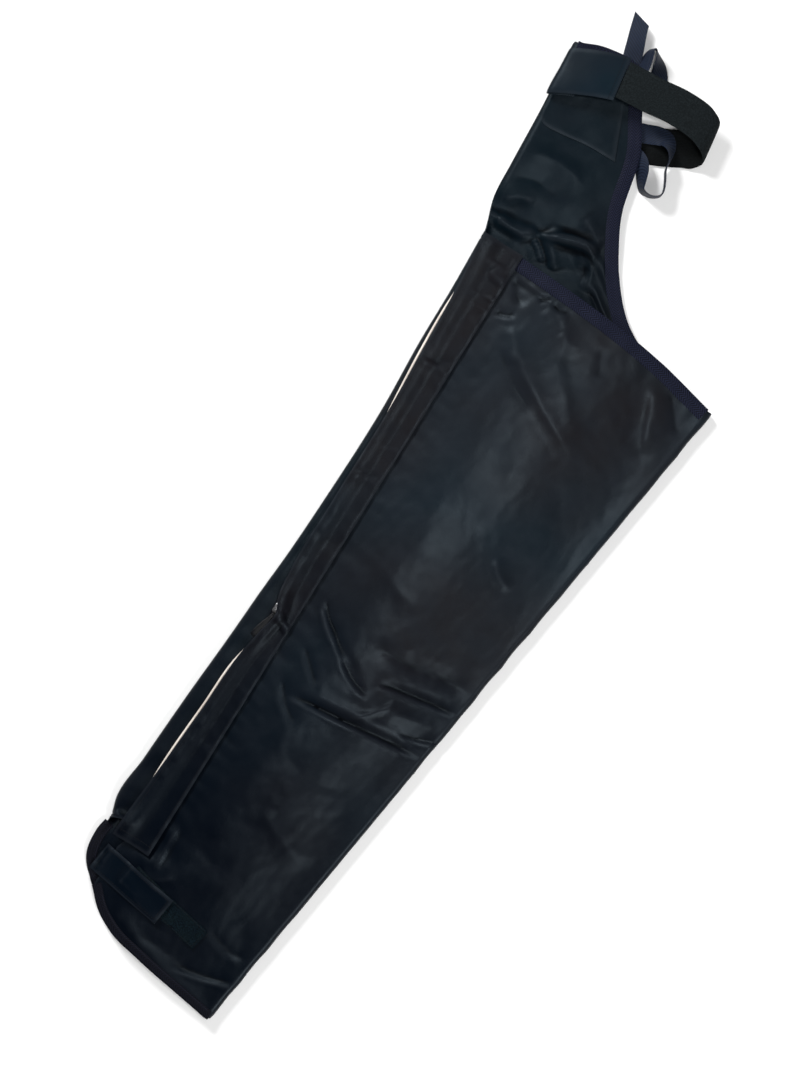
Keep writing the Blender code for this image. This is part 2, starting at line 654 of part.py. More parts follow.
def wrap_row(start_x, y, base_z):
    """Points from the cloth's outer edge back round the outer fold to start_x."""
    curve, length = outer_wrap(y)
    full_turn = math.pi / curve if curve > FLAT_CURVE else math.inf
    count = FOLD_STEPS + FLAT_STEPS
    stops = [length * step / count for step in range(1, count + 1)]
    if length > full_turn:
        stops = [full_turn * step / FOLD_STEPS for step in range(1, FOLD_STEPS + 1)]
        stops += [
            full_turn + (length - full_turn) * step / FLAT_STEPS for step in range(1, FLAT_STEPS + 1)
        ]
    row = []
    for stop in stops:
        turn = min(stop, full_turn) * curve
        side = math.sin(turn) / curve if abs(curve) > FLAT_CURVE else stop
        rise = (1 - math.cos(turn)) / curve if abs(curve) > FLAT_CURVE else 0.0
        row.append((start_x - side + max(stop - full_turn, 0.0), y, base_z + rise))
    return row[::-1]


def back_top(columns):
    """Points of the back panel's top edge; the waist edge and the hip edge meet in a corner."""
    places = column_of(BACK_TOP, "column")
    points = np.array([(p.across * INNER_THIGH, LEG_LENGTH + p.up * HIP_RISE) for p in BACK_TOP])
    corner = WAIST_CORNER
    waist = curve_through(places[: corner + 1], points[: corner + 1], columns)
    side = curve_through(places[corner:], points[corner:], columns)
    return np.where(columns[:, None] <= places[corner], waist, side)


def back_grid():
    """Middle of the back panel: from the zip, down round the outer fold and across under the leg."""
    columns = np.array(column_of(BACK_TOP, "column"))
    rows = []
    for share in LEG_ROWS:
        y = leg_row(share, columns)
        left = np.array([wrap_start(at) for at in y])
        x = left + (inner_fold(y) - SEAM_INSET - GAP / 2 - left) * columns
        corner = (1 - smooth(columns / CORNER_WIDE)) * (1 - smooth((y / ZIP_END - RISE_FROM) * 4))
        z = CLOTH / 2 + EDGE_LIFT * np.maximum(smooth(1 - share / LEG_ROWS[1]), corner)
        rows.append(wrap_row(x[0], y[0], z[0]) + list(zip(x, y, z)))
    base = np.array(rows[-1][-len(columns):])[:, :2]
    top = back_top(columns)
    for share in HIP_ROWS:
        plan = base + (top - base) * share
        plan[:, 0] += (wrap_start(plan[0, 1]) - plan[0, 0]) * (1 - columns) ** 3
        plan[-1, 0] = inner_fold(plan[-1, 1]) - SEAM_INSET - GAP / 2
        lift = np.maximum(hip_lift(plan[:, 1]), EDGE_LIFT * smooth((share - LIFT_SHARE) / (1 - LIFT_SHARE)))
        relief = fold_relief(HIP_FOLDS, plan[:, 0], plan[:, 1])
        z = CLOTH / 2 + lift + relief * smooth((HIP_ROWS[-3] - share) * 6)
        rows.append(wrap_row(plan[0, 0], plan[0, 1], z[0]) + list(zip(plan[:, 0], plan[:, 1], z)))
    return np.array(rows)


# Flap, piping and zip


def zip_height():
    return CLOTH / 2 + 2 * FOLD_RADIUS


def row_heights(low, high):
    """y of the leg's rows at the zip, from low to high."""
    rows = [float(leg_row(share, 0.0)) for share in LEG_ROWS if low < leg_row(share, 0.0) < high]
    return np.array([low] + rows + [high])


def make_zip():
    rows = row_heights(ZIP_CHAIN_FROM * ZIP_END, LEG_LENGTH - ZIP_TOP_INSET)
    middle = zip_middle(rows)
    half = ZIP_WIDTH / 2
    grid = [[(x - half, y, zip_height()), (x + half, y, zip_height())] for x, y in zip(middle, rows)]
    return cloth("zip_chain", "zip", np.array(grid), ZIP_THICKNESS)


def make_slider():
    width, length, height = SLIDER_SIZE
    x, z = float(zip_middle(SLIDER_AT)), zip_height() + CLOTH / 2 + REST_GAP + height / 2
    narrow, start = SLIDER_ENDS
    grid = [
        [(x + side * half * width / 2, SLIDER_AT + end * length / 2, z) for side in (-1, 1)]
        for end, half in ((-1.0, narrow), (-start, 1.0), (start, 1.0), (1.0, narrow))
    ]
    return cloth("zip_slider", "zip", np.array(grid), height)


def make_puller():
    swing = math.radians(PULLER_SWING)
    down = np.array([-math.sin(swing), -math.cos(swing), 0.0])
    side = np.array([math.cos(swing), -math.sin(swing), 0.0])
    start = np.array(
        [
            float(zip_middle(SLIDER_AT)),
            SLIDER_AT - SLIDER_SIZE[1] / 2 - REST_GAP - PULLER_WIDTH / 4,
            zip_height() + CLOTH / 2 + REST_GAP + PULLER_THICKNESS / 2,
        ]
    )
    grid = [
        [start + down * p.along * PULLER_LENGTH + side * p.half * s * PULLER_WIDTH / 2 for s in (-1, 1)]
        for p in PULLER
    ]
    return cloth("zip_puller", "zip", np.array(grid), PULLER_THICKNESS)


def flap_grid(tree):
    """The flap, lying on the front panel at its seam and on the piping at its free edge."""
    rows = row_heights(FLAP_END, LEG_LENGTH)
    shares = np.linspace(1.0, 0.0, FLAP_COLUMNS)
    plan = np.array([[(flap_edge(y) * share, y, 0.0) for share in shares] for y in rows])
    lift = REST_GAP + FLAP_CLOTH / 2 + (PIPING + GAP) * smooth((shares - FLAP_STEP[0]) / FLAP_STEP[1])
    return lay(plan, tree, lift[None, :], SLIDER_SIZE[0], 3)


def make_piping(flap):
    """The cord along the flap's edge, tucked under it for part of the way."""
    rows = flap[1:-1, 0, 1]
    out = curve_through(
        column_of(PIPING_TUCKS, "along"), column_of(PIPING_TUCKS, "out"), rows / LEG_LENGTH
    )
    x = flap_edge(rows) - (out - 0.5) * PIPING
    rings = []
    for i, y in enumerate(rows):
        edge, inner = flap[i + 1, 0], flap[i + 1, 1]
        slope = min((inner[2] - edge[2]) / (inner[0] - edge[0]), 0.0)
        z = edge[2] + slope * max(x[i] + PIPING / 2 - edge[0], 0.0) - FLAP_CLOTH / 2 - GAP - PIPING / 2
        centre = np.array([x[i], y, z])
        turns = np.arange(PIPING_SIDES) * 2 * math.pi / PIPING_SIDES
        rings.append([centre + np.array([math.cos(t), 0, math.sin(t)]) * PIPING / 2 for t in turns])
    return swept("reflective_piping", "piping", rings, (tuple(range(PIPING_SIDES)),))


# Straps and bands


def strap_places(count):
    return np.linspace(0, count - 1, (count - 1) * STRAP_STEPS + 1)


def band_grid(points, width):
    """Middle of the waist band along its table of points."""
    table = np.array(
        [
            (p.right * HIP_RISE, LEG_LENGTH + p.up * HIP_RISE, p.height * BAND_HEIGHT, p.turn, p.wide)
            for p in points
        ]
    )
    read = curve_through(np.arange(len(points)), table, strap_places(len(points)))
    turn = np.radians(read[:, 3])
    across = np.stack([-np.sin(turn), np.cos(turn), np.zeros(len(turn))], axis=1)
    half = across * read[:, 4:5] * width / 2
    middle = read[:, :3]
    return np.stack([middle - half, middle, middle + half], axis=1)


def webbing_grid(points, cut=0.0):
    """Middle of a strap that turns on its edge; cut slants its last end."""
    table = np.array(
        [
            (p.right * HIP_RISE, LEG_LENGTH + p.up * HIP_RISE, p.height * WEBBING_WIDTH, p.tilt)
            for p in points
        ]
    )
    read = curve_through(np.arange(len(points)), table, strap_places(len(points)))
    middle = read[:, :3]
    ahead = np.gradient(middle[:, :2], axis=0)
    ahead /= np.linalg.norm(ahead, axis=1, keepdims=True)
    tilt = np.radians(read[:, 3])
    left = np.stack([-ahead[:, 1] * np.cos(tilt), ahead[:, 0] * np.cos(tilt), np.sin(tilt)], axis=1)
    half = left * WEBBING_WIDTH / 2
    grid = np.stack([middle - half, middle, middle + half], axis=1)
    slant = np.array([*ahead[-1], 0.0]) * cut * WEBBING_WIDTH
    grid[-1] += slant[None, :] * np.array([-1, 0, 1])[:, None]
    return grid


def facing_grid(tree):
    shares = (0.0, 0.33, 0.66, 1.0)
    unit = np.array([INNER_THIGH, HIP_RISE, 0.0])
    top_of_leg = np.array([0.0, LEG_LENGTH, 0.0])
    low = top_of_leg + unit * [(c.low_across, c.low_up, 0) for c in FACING]
    high = top_of_leg + unit * [(c.high_across, c.high_up, 0) for c in FACING]
    plan = np.array([low + (high - low) * share for share in shares])
    return lay(plan, tree, REST_GAP + FACING_CLOTH / 2, FACING_CLOTH, 0)


def laid_strip(end, turn, length, width, rows, columns, tree, lift, reach, ease):
    """A strip that ends at end and runs back from it towards the outer fold."""
    angle = math.radians(turn)
    back = -np.array([math.cos(angle), math.sin(angle), 0.0])
    side = np.array([-math.sin(angle), math.cos(angle), 0.0])
    end = np.array([*end, 0.0])
    plan = [
        [end + back * length * (1 - i / rows) + side * width * (j / columns - 0.5) for i in range(rows + 1)]
        for j in range(columns + 1)
    ]
    return lay(np.array(plan), tree, lift, reach, ease)


def place_on_floor():
    """Puts the part over the origin: the middle of its plan at x = y = 0 and its lowest point at z = 0."""
    points = np.array([vertex.co for obj in bpy.data.objects for vertex in obj.data.vertices])
    low, high = points.min(axis=0), points.max(axis=0)
    shift = np.array([(low[0] + high[0]) / 2, (low[1] + high[1]) / 2, low[2]])
    for obj in bpy.data.objects:
        for vertex in obj.data.vertices:
            vertex.co = vertex.co - Vector(shift)


clear_scene()
front = front_grid()
back = back_grid()
front_panel = cloth("leg_front_panel", "shell", front, CLOTH)
back_panel = cloth("leg_back_panel", "shell", back, CLOTH)

zip_chain = make_zip()
slider = make_slider()
puller = make_puller()
flap = flap_grid(surface_of(front_panel, back_panel, zip_chain, slider, puller))
cloth("storm_flap", "shell", flap, FLAP_CLOTH)
make_piping(flap)

# Bindings, along the edges' grid points
last_row, last_column = len(front) - 1, len(FRONT_COLUMNS) - 1
top_cells = [(last_row, j) for j in range(FRONT_BINDING_FROM, last_column + 1)]
binding("front_top_binding", front_panel, front, top_cells, BINDING, left=False)
hem_cells = [(0, j) for j in range(last_column + 2)]
hem_binding = binding("hem_binding", front_panel, front, hem_cells, CORNER_BINDING, left=True)
first = FOLD_STEPS + FLAT_STEPS  # the back panel's columns before this one go round the outer fold
corner = first + WAIST_CORNER
hip_cells = [(len(back) - 1, j) for j in range(corner, back.shape[1] - 1)]
binding("hip_binding", back_panel, back, hip_cells, BINDING, left=False)
waist_cells = [(len(back) - 1, j) for j in range(first - 3, corner)]
binding("waist_edge_binding", back_panel, back, waist_cells, WAIST_BINDING, left=False)
corner_cells = [(i, 0) for i in range(CORNER_ROWS, 0, -1)] + [(0, j) for j in (0, 2, 5)]
corner_cells += [(0, j) for j in range(first, first + CORNER_COLUMNS)]
rear_binding = binding("rear_corner_binding", back_panel, back, corner_cells, CORNER_BINDING, left=True)

# Waist
cloth("waist_facing", "shell", facing_grid(surface_of(back_panel)), FACING_CLOTH)
cloth("waist_tab", "shell", band_grid(TAB_RUN, TAB_BAND_WIDTH), BAND_CLOTH)
cloth("waist_elastic", "elastic", band_grid(ELASTIC_RUN, ELASTIC_WIDTH), ELASTIC)
cloth("webbing_lower_loop", "webbing", webbing_grid(LOWER_LOOP), WEBBING)
cloth("webbing_upper_loop", "webbing", webbing_grid(UPPER_LOOP), WEBBING)
cloth("webbing_end", "webbing", webbing_grid(LOOSE_END, WEBBING_CUT), WEBBING)

# Hem closure
patch_plan = laid_strip(
    PATCH_AT, PATCH_TURN, PATCH_LENGTH, PATCH_WIDTH, 10, 2, surface_of(front_panel),
    REST_GAP + PATCH_CLOTH / 2, PATCH_WIDTH / 4, 1,
)
patch = cloth("hem_patch", "hook_loop", patch_plan, PATCH_CLOTH)
tab_plan = laid_strip(
    TAB_AT, TAB_TURN, TAB_LENGTH, TAB_WIDTH, 12, 3,
    surface_of(front_panel, back_panel, patch, rear_binding, hem_binding),
    REST_GAP + TAB_CLOTH / 2, TAB_WIDTH / 6, 2,
)
cloth("hem_tab", "shell", tab_plan, TAB_CLOTH)

place_on_floor()
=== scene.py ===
"""Looks for one leg of riding chaps that lies on its back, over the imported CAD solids.

Each soft piece is made again here as finer cloth, from the same named sizes and tables as its solid, with
creases, puckers, seams and stitches added.  X runs across the leg from the outer fold to the inner fold, Y
from the hem to the waist and Z up.  Pieces are made with the storm flap's seam at x = 0 and the hem's
lowest corner at y = 0, in metres, and are moved onto the CAD frame as they are added.
"""

import math
from collections import namedtuple

import bpy
import numpy as np
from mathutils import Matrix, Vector, noise
from mathutils.bvhtree import BVHTree


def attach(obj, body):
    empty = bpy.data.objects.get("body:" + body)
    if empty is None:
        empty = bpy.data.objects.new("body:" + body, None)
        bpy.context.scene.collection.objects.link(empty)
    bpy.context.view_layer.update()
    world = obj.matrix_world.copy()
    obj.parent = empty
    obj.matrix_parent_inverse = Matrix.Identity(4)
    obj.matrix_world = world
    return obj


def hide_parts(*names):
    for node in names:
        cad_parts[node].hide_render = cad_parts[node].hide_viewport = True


def table(columns, *rows):
    """The rows of a table, with their columns' names."""
    row = namedtuple("Row", columns)
    return tuple(row(*values) for values in rows)


SEAM_AND_HEM = (-0.0861312, -0.5380732, 0.0)  # where the flap's seam and the hem's low corner lie

# Driving dimensions of the leg
LEG_LENGTH = 0.809  # hem's low corner to the top of the storm flap
HIP_RISE = 0.228  # top of the storm flap to the waist edge
INNER_THIGH = 0.2435  # flap seam to the inner fold, at the crotch
INNER_HEM = 0.1385  # flap seam to the inner fold, at the hem
OUTER_REACH = 0.050  # flap seam to the outer fold
HEM_RISE = 0.052  # how much higher the hem is at the outer side
PUFF = 0.029  # height of the flattened leg at its fullest
CLOTH = 0.002  # shell cloth and lining
FOLD_RADIUS = 0.0055  # middle of the cloth where the leg is folded flat
SEAM_INSET = 0.014  # inner seam, under the leg, in from the inner fold
GAP = 0.0003  # between pieces that are sewn together
REST_GAP = 0.0004  # between a piece and the cloth that it lies on

# Flap, piping and zip
FLAP_WIDTH = 0.046
FLAP_CLOTH = 0.0024
FLAP_END = 0.106  # hem's low corner to the flap's lower end
PIPING = 0.0026  # diameter
ZIP_REACH_LOW = 0.36  # flap seam to the middle of the zip at its lower end, share of OUTER_REACH
ZIP_REACH_HIGH = 0.56  # the same at its upper end
ZIP_WIDTH = 0.0058
ZIP_THICKNESS = 0.0016
ZIP_END = 0.112  # hem's low corner to where the zip's slit closes
ZIP_SIDE_GAP = 0.0006
SLIDER_AT = 0.383  # hem's low corner to the slider
SLIDER_SIZE = (0.0075, 0.0110, 0.0026)
PULLER_LENGTH = 0.030
PULLER_WIDTH = 0.007
PULLER_THICKNESS = 0.0016
PULLER_SWING = 13.0  # degrees that the puller leans towards the outer fold

# Bindings, which are tapes folded over a cut edge
TAPE = 0.0009
BINDING = 0.0125  # width of the binding that shows on the thigh and hip
CORNER_BINDING = 0.0080  # width of the binding that shows at the hem
WAIST_BINDING = 0.0100  # width of the binding that shows at the waist
BINDING_UNDER = 0.0035  # width of the binding that is turned under
BINDING_GAP = 0.0006  # between a tape and the cloth that it is folded over
EDGE_LIFT = 0.0026  # a bound edge lies this far off the surface

# Waist
HIP_LIFT = 0.0056  # the hip lies on the band's return and the webbing
HIP_TURN = 0.009  # length of cloth that rolls down at the hip's outer edge
TAB_BAND_WIDTH = 0.047
BAND_CLOTH = 0.0018
ELASTIC_WIDTH = 0.0395
ELASTIC = 0.0016
BAND_HEIGHT = 0.0295  # height of the upper run of the waist loop
FACING_CLOTH = 0.0010
WEBBING_WIDTH = 0.0195
WEBBING = 0.0013
WEBBING_CUT = 0.32  # slant of the webbing's cut end, share of its width

# Hem closure
TAB_LENGTH = 0.0860
TAB_WIDTH = 0.0300
TAB_CLOTH = 0.0022
TAB_TURN = -7.6  # degrees from straight across the leg
TAB_AT = (0.0427, 0.0680)  # middle of the tab's free end
PATCH_LENGTH = 0.0950
PATCH_WIDTH = 0.0230
PATCH_CLOTH = 0.0014
PATCH_TURN = -11.6
PATCH_AT = (0.0880, 0.0624)  # middle of the patch's inner end

# Shares and lengths that shape the cloth between the sizes above
LOOSE_REACH = 0.63  # the front panel's free corner below the zip, share of OUTER_REACH
LOOSE_HEIGHT = 1.38  # its height there, share of FOLD_RADIUS
CLOSE_FROM, CLOSE_OVER = 0.85, 0.30  # where that corner comes in beside the zip, shares of ZIP_END
RISE_FROM = 0.90  # where the cloth beside the zip comes up, share of ZIP_END
CROWN_OUTER, CROWN_INNER = 0.42, 0.48  # width over which the front rises from each side, shares of it
SIDE_EASE = 0.30  # width over which the free corner's drop is lost, share of the front's own
LIFT_FROM, LIFT_OVER = 1.012, 0.075  # where the hip comes up onto the straps, shares of LEG_LENGTH
LIFT_SHARE = 0.375  # where the hip starts to lift to its bound edge, share of the way to it
WRAP_FROM, WRAP_OVER = 1.01, 0.17  # where the cloth comes round the outer fold, shares of ZIP_END
WRAP_PAST, WRAP_EASE = 0.004, 0.016  # where it leaves it above the leg's top, and over what length
LEAST_TURN_BACK = 0.002  # flat cloth beside the zip
HIP_EASE = 0.030
CORNER_CURL, CURL_EASE = 0.50, 0.020  # turn of the free outer corner, share of a full fold's; its length
CORNER_WIDE = 0.18  # width of that corner, share of the back's own
FLAT_CURVE = 1e-3  # curvature below which cloth counts as flat
ZIP_CHAIN_FROM = 1.19  # lower end of the zip's chain, share of ZIP_END
ZIP_TOP_INSET = 0.016  # its upper end, below the flap's top
FOLD_CLEAR = (0.12, 0.16)  # creases fade beside the flap and the inner fold, shares of the width
FLAP_STEP = (0.4, 0.4)  # share of the flap, from its seam, where it comes up onto the piping

# Heights along the leg.  along is a share of LEG_LENGTH, outer of OUTER_REACH, flap of FLAP_WIDTH and
# rise of PUFF.
SECTIONS = table(
    "along outer flap rise",
    (0.062, 0.62, 0.93, 0.58), (0.075, 0.86, 0.93, 0.61), (0.090, 1.03, 0.93, 0.64),
    (0.122, 1.13, 0.93, 0.73), (0.151, 1.08, 0.900, 0.79), (0.167, 1.16, 0.885, 0.81),
    (0.229, 1.12, 0.804, 0.87), (0.324, 1.048, 0.696, 0.92), (0.405, 0.965, 0.635, 0.93),
    (0.440, 0.935, 0.53, 0.93), (0.468, 0.915, 0.45, 0.93), (0.485, 0.900, 0.585, 0.92),
    (0.520, 0.860, 0.670, 0.94), (0.624, 0.796, 0.700, 1.00), (0.752, 0.780, 0.7065, 1.00),
    (0.846, 0.856, 0.783, 1.00), (0.920, 0.875, 0.861, 0.94), (1.000, 0.930, 1.000, 0.80),
)
# The hip's outer edge.  up is a share of HIP_RISE above the flap's top, outer of OUTER_REACH.
HIP_SECTIONS = table(
    "up outer",
    (-0.10, 0.89), (0.00, 0.93), (0.158, 1.15), (0.32, 1.20), (0.64, 1.29), (0.904, 1.42),
)
# The top edge of the back panel, from the outer fold along the waist and down to the crotch.  column is
# the share of the panel's columns, across a share of INNER_THIGH, up a share of HIP_RISE.
BACK_TOP = table(
    "column across up",
    (0.00, -0.262, 0.925), (0.13, -0.155, 0.966), (0.21, -0.050, 0.978), (0.26, 0.012, 0.968),
    (0.33, 0.097, 0.806), (0.40, 0.183, 0.640), (0.48, 0.240, 0.400), (0.56, 0.318, 0.236),
    (0.64, 0.405, 0.103), (0.72, 0.494, 0.004), (0.82, 0.620, -0.072), (0.91, 0.765, -0.112),
    (1.00, 0.930, -0.158),
)
WAIST_CORNER = 3  # row of BACK_TOP where the waist edge meets the hip edge
# The hem's height above its low corner, a share of HEM_RISE, and the front panel's top edge, a share of
# LEG_LENGTH.  across runs from the zip to the inner fold.
EDGE_HEIGHT = "across height"
HEM = table(
    EDGE_HEIGHT,
    (0.00, 1.00), (0.10, 0.69), (0.22, 0.48), (0.47, 0.29), (0.75, 0.135), (1.00, 0.00),
)
FRONT_TOP = table(
    EDGE_HEIGHT,
    (0.00, 0.9975), (0.25, 0.9925), (0.50, 0.9860), (0.75, 0.9760), (1.00, 0.9590),
)
# Creases and ridges.  across is a share of INNER_THIGH and along of LEG_LENGTH, from one end to the other;
# depth is a share of PUFF, minus where the cloth sinks, and width a share of INNER_THIGH.
FOLD = "across0 along0 across1 along1 depth width"
FRONT_FOLDS = table(
    FOLD,
    (0.12, 0.392, 0.74, 0.414, -0.26, 0.045), (0.20, 0.428, 0.80, 0.446, 0.13, 0.055),
    (0.40, 0.464, 0.76, 0.479, -0.19, 0.040), (0.30, 0.498, 0.80, 0.516, -0.17, 0.050),
    (0.10, 0.500, 0.36, 0.450, -0.16, 0.036), (0.14, 0.455, 0.25, 0.412, 0.10, 0.040),
    (0.24, 0.940, 0.60, 0.830, 0.12, 0.070), (0.72, 0.940, 0.86, 0.850, -0.14, 0.050),
    (0.45, 0.120, 0.62, 0.075, -0.12, 0.060), (0.30, 0.260, 0.55, 0.210, 0.08, 0.080),
)
HIP_FOLDS = table(
    FOLD,
    (-0.20, 1.024, 0.02, 1.032, 0.16, 0.050), (0.02, 1.040, 0.26, 1.058, 0.20, 0.055),
    (0.28, 1.045, 0.42, 1.015, 0.10, 0.040),
)
# How far the piping shows beyond the flap's edge, a share of its diameter; below 0 it is tucked under
PIPING_TUCKS = table(
    "along out",
    (0.13, -0.4), (0.20, -0.3), (0.24, 0.6), (0.32, 1.0), (0.39, 0.6), (0.42, -0.3), (0.55, -0.4),
    (0.73, -0.3), (0.78, 0.6), (0.84, 1.0), (0.90, 0.6), (0.93, -0.3), (0.99, -0.4),
)
# The waist band's middle line and width direction.  right is from the flap seam and up from the flap's
# top, shares of HIP_RISE; height is a share of BAND_HEIGHT; turn is degrees of the width's direction
# from straight up the leg; wide is a share of the band's width.
BAND_POINT = "right up height turn wide"
TAB_RUN = table(
    BAND_POINT,
    (-0.200, 0.811, 0.375, 11.0, 0.98), (-0.245, 0.792, 0.372, 10.0, 1.00),
    (-0.278, 0.776, 0.400, 7.0, 1.04), (-0.2975, 0.768, 0.505, 4.0, 1.08),
    (-0.290, 0.773, 0.640, 5.0, 1.06), (-0.255, 0.790, 0.730, 8.0, 1.03),
    (-0.197, 0.816, 0.820, 11.0, 1.01), (-0.120, 0.846, 0.930, 10.0, 0.99),
    (-0.0415, 0.872, 0.990, 8.6, 0.97),
)
ELASTIC_RUN = table(
    BAND_POINT,
    (-0.0380, 0.8725, 0.990, 8.6, 0.97), (0.040, 0.878, 1.000, 4.0, 0.955),
    (0.114, 0.8825, 1.000, 0.0, 0.955), (0.224, 0.8965, 0.990, -1.0, 0.955),
    (0.333, 0.8950, 0.960, 1.0, 0.955), (0.395, 0.8780, 0.880, 5.0, 0.98),
    (0.4250, 0.862, 0.720, 7.0, 1.02), (0.4360, 0.848, 0.500, 8.0, 1.06), (0.4260, 0.830, 0.250, 9.5, 1.03),
    (0.398, 0.803, 0.085, 13.0, 1.00), (0.355, 0.783, 0.042, 17.0, 0.98), (0.296, 0.751, 0.041, 24.0, 0.97),
    (0.225, 0.717, 0.041, 25.6, 0.97), (0.125, 0.668, 0.041, 25.6, 0.97),
)
# Webbing straps: right and up as above; height is a share of WEBBING_WIDTH; tilt is degrees that the
# strap's left edge, seen along the strap, is raised.
WEB_POINT = "right up height tilt"
LOWER_LOOP = table(
    WEB_POINT,
    (0.085, 0.722, 0.159, 0.0), (0.153, 0.739, 0.159, 0.0), (0.197, 0.756, 0.190, -3.0),
    (0.226, 0.766, 0.255, -10.0), (0.261, 0.767, 0.380, -24.0), (0.289, 0.751, 0.530, -46.0),
    (0.309, 0.724, 0.635, -68.0), (0.322, 0.688, 0.665, -84.0), (0.327, 0.652, 0.620, -90.0),
    (0.346, 0.618, 0.540, -90.0), (0.365, 0.580, 0.522, -90.0), (0.370, 0.550, 0.522, -90.0),
    (0.355, 0.529, 0.522, -90.0), (0.323, 0.516, 0.522, -88.0), (0.287, 0.521, 0.518, -80.0),
    (0.265, 0.553, 0.500, -66.0), (0.243, 0.594, 0.430, -52.0), (0.216, 0.620, 0.300, -32.0),
    (0.180, 0.634, 0.190, -12.0), (0.138, 0.640, 0.159, 0.0),
)
UPPER_LOOP = table(
    WEB_POINT,
    (0.112, 0.905, 0.100, 0.0), (0.098, 0.955, 0.130, 6.0), (0.086, 0.990, 0.260, 24.0),
    (0.064, 1.028, 0.420, 48.0), (0.036, 1.060, 0.515, 74.0), (0.014, 1.076, 0.535, 84.0),
    (0.000, 1.064, 0.525, 74.0), (0.001, 1.036, 0.500, 62.0), (0.008, 1.000, 0.480, 56.0),
    (0.014, 0.962, 0.460, 56.0),
)
LOOSE_END = table(
    WEB_POINT,
    (-0.018, 0.900, 0.100, 0.0), (-0.040, 0.955, 0.105, 0.0), (-0.058, 1.004, 0.160, -8.0),
    (-0.077, 1.058, 0.255, -22.0), (-0.096, 1.112, 0.305, -29.0), (-0.110, 1.162, 0.315, -30.0),
)
# The stitched facing on the hip: its lower and upper ends, across as shares of INNER_THIGH and up of
# HIP_RISE
FACING = table(
    "low_across low_up high_across high_up",
    (-0.252, 0.605, -0.262, 0.80), (-0.238, 0.562, -0.240, 0.81), (-0.208, 0.540, -0.205, 0.82),
    (-0.130, 0.546, -0.140, 0.83), (-0.020, 0.562, -0.060, 0.84), (0.112, 0.566, 0.000, 0.85),
)
# The coil's section: across, a share of half ZIP_WIDTH, height, a share of ZIP_THICKNESS, and what each
# second ring adds to it
ZIP_OUTLINE = (
    (-1, -0.3, 0), (-0.86, 0.3, 0), (-0.5, 0, 0.5), (0, 0, 0.34), (0.5, 0, 0.5), (0.86, 0.3, 0),
    (1, -0.3, 0), (0.5, -0.5, 0), (0, -0.5, 0), (-0.5, -0.5, 0),
)
# The slider's outline, in halves of its length and width
SLIDER = ((-1, 0.62), (-0.9, 0.78), (-0.5, 1), (0.1, 0.92), (0.5, 1), (0.9, 0.86), (1, 0.7))
PIPING_ROWS, PIPING_SIDES = slice(16, -8), 10  # rows of the flap that carry the piping
PLATE_ACROSS = np.array([-1.0, -0.92, -0.6, -0.2, 0.2, 0.6, 0.92, 1.0])
# The zip puller's outline: along is a share of PULLER_LENGTH, half of half PULLER_WIDTH
PULLER = table(
    "along half",
    (0.00, 0.50), (0.15, 0.62), (0.45, 1.00), (0.88, 1.00), (0.97, 0.80), (1.00, 0.45),
)

# The rows, shares of LEG_LENGTH, where the hem's lift ends and the hip starts
FIRST_LEG_ROW, LAST_LEG_ROW = 0.021, 0.938
ZIP_PITCH = 0.0016
THREAD = 0.00028  # half the thickness of the sewing thread
STITCH_PITCH = 0.0030
STITCH_INSET, CORNER_STITCH_INSET = 0.0016, 0.0014  # stitches in from a binding's inner edge

# Stage
CAMERA_AIM = (-0.0363, -0.0306)
CAMERA_HEIGHT = 2.6
CAMERA_ROLL = 32.0
FRAME_HEIGHT = 1.08  # height of the photo's frame at the surface
FLOOR_REACH, FLOOR_Z = 6.0, -0.0004
WORLD_LIGHT = 0.13
LIGHTS = (
    ("window", (-2.1, 1.1, 1.7), 0.9, 94.0),
    ("fill", (2.1, -1.2, 2.1), 1.4, 62.0),
    ("softbox", (0.10, 0.22, 2.75), 0.55, 30.0),
)

# How fine the cloth is made
FRONT_ROWS, FRONT_COLUMNS = 352, 118
LEG_ROWS, HIP_ROWS, BACK_COLUMNS = 150, 128, 100
FOLD_STEPS, FLAT_STEPS = 12, 8
FLAP_ROWS, FLAP_COLUMNS = 330, 26
STRAP_STEPS, BAND_COLUMNS, WEBBING_COLUMNS = 10, 25, 13
STRIP_ROWS, STRIP_COLUMNS = 46, 18
FACING_ROWS, FACING_COLUMNS = 34, 46
BINDING_STEP, BINDING_STITCH_STEP = 0.0035, 0.004
HEM_BLEND, TOP_BLEND = 0.20, 0.30  # where rows turn from the edge's slope to straight across, shares
FRONT_BINDING_FROM = 0.095  # share of the front panel's width that the flap covers at its top edge
BOUND_WRAP_ROWS = 0.112  # how far up the outer corner is bound, share of LEG_LENGTH

# Relief of the loose cloth
STEEPER, CUSP = 0.45, 1.35  # how much narrower a crease's steep side is, and how pointed its bottom
BANK = (0.55, 2.3, 1.1)  # the low bank beside the steep side: its height, place and width
ROUND_EDGE = (0.30, 0.78)  # thickness of a cloth's border and of the row beside it, share of the whole
SLACK = (  # height, size across, size along, lean and seed of each size of bump
    (0.0011, 0.075, 0.110, 0.0, 0), (0.0004, 0.026, 0.044, 0.3, 7), (0.00018, 0.009, 0.012, 0.0, 19),
)
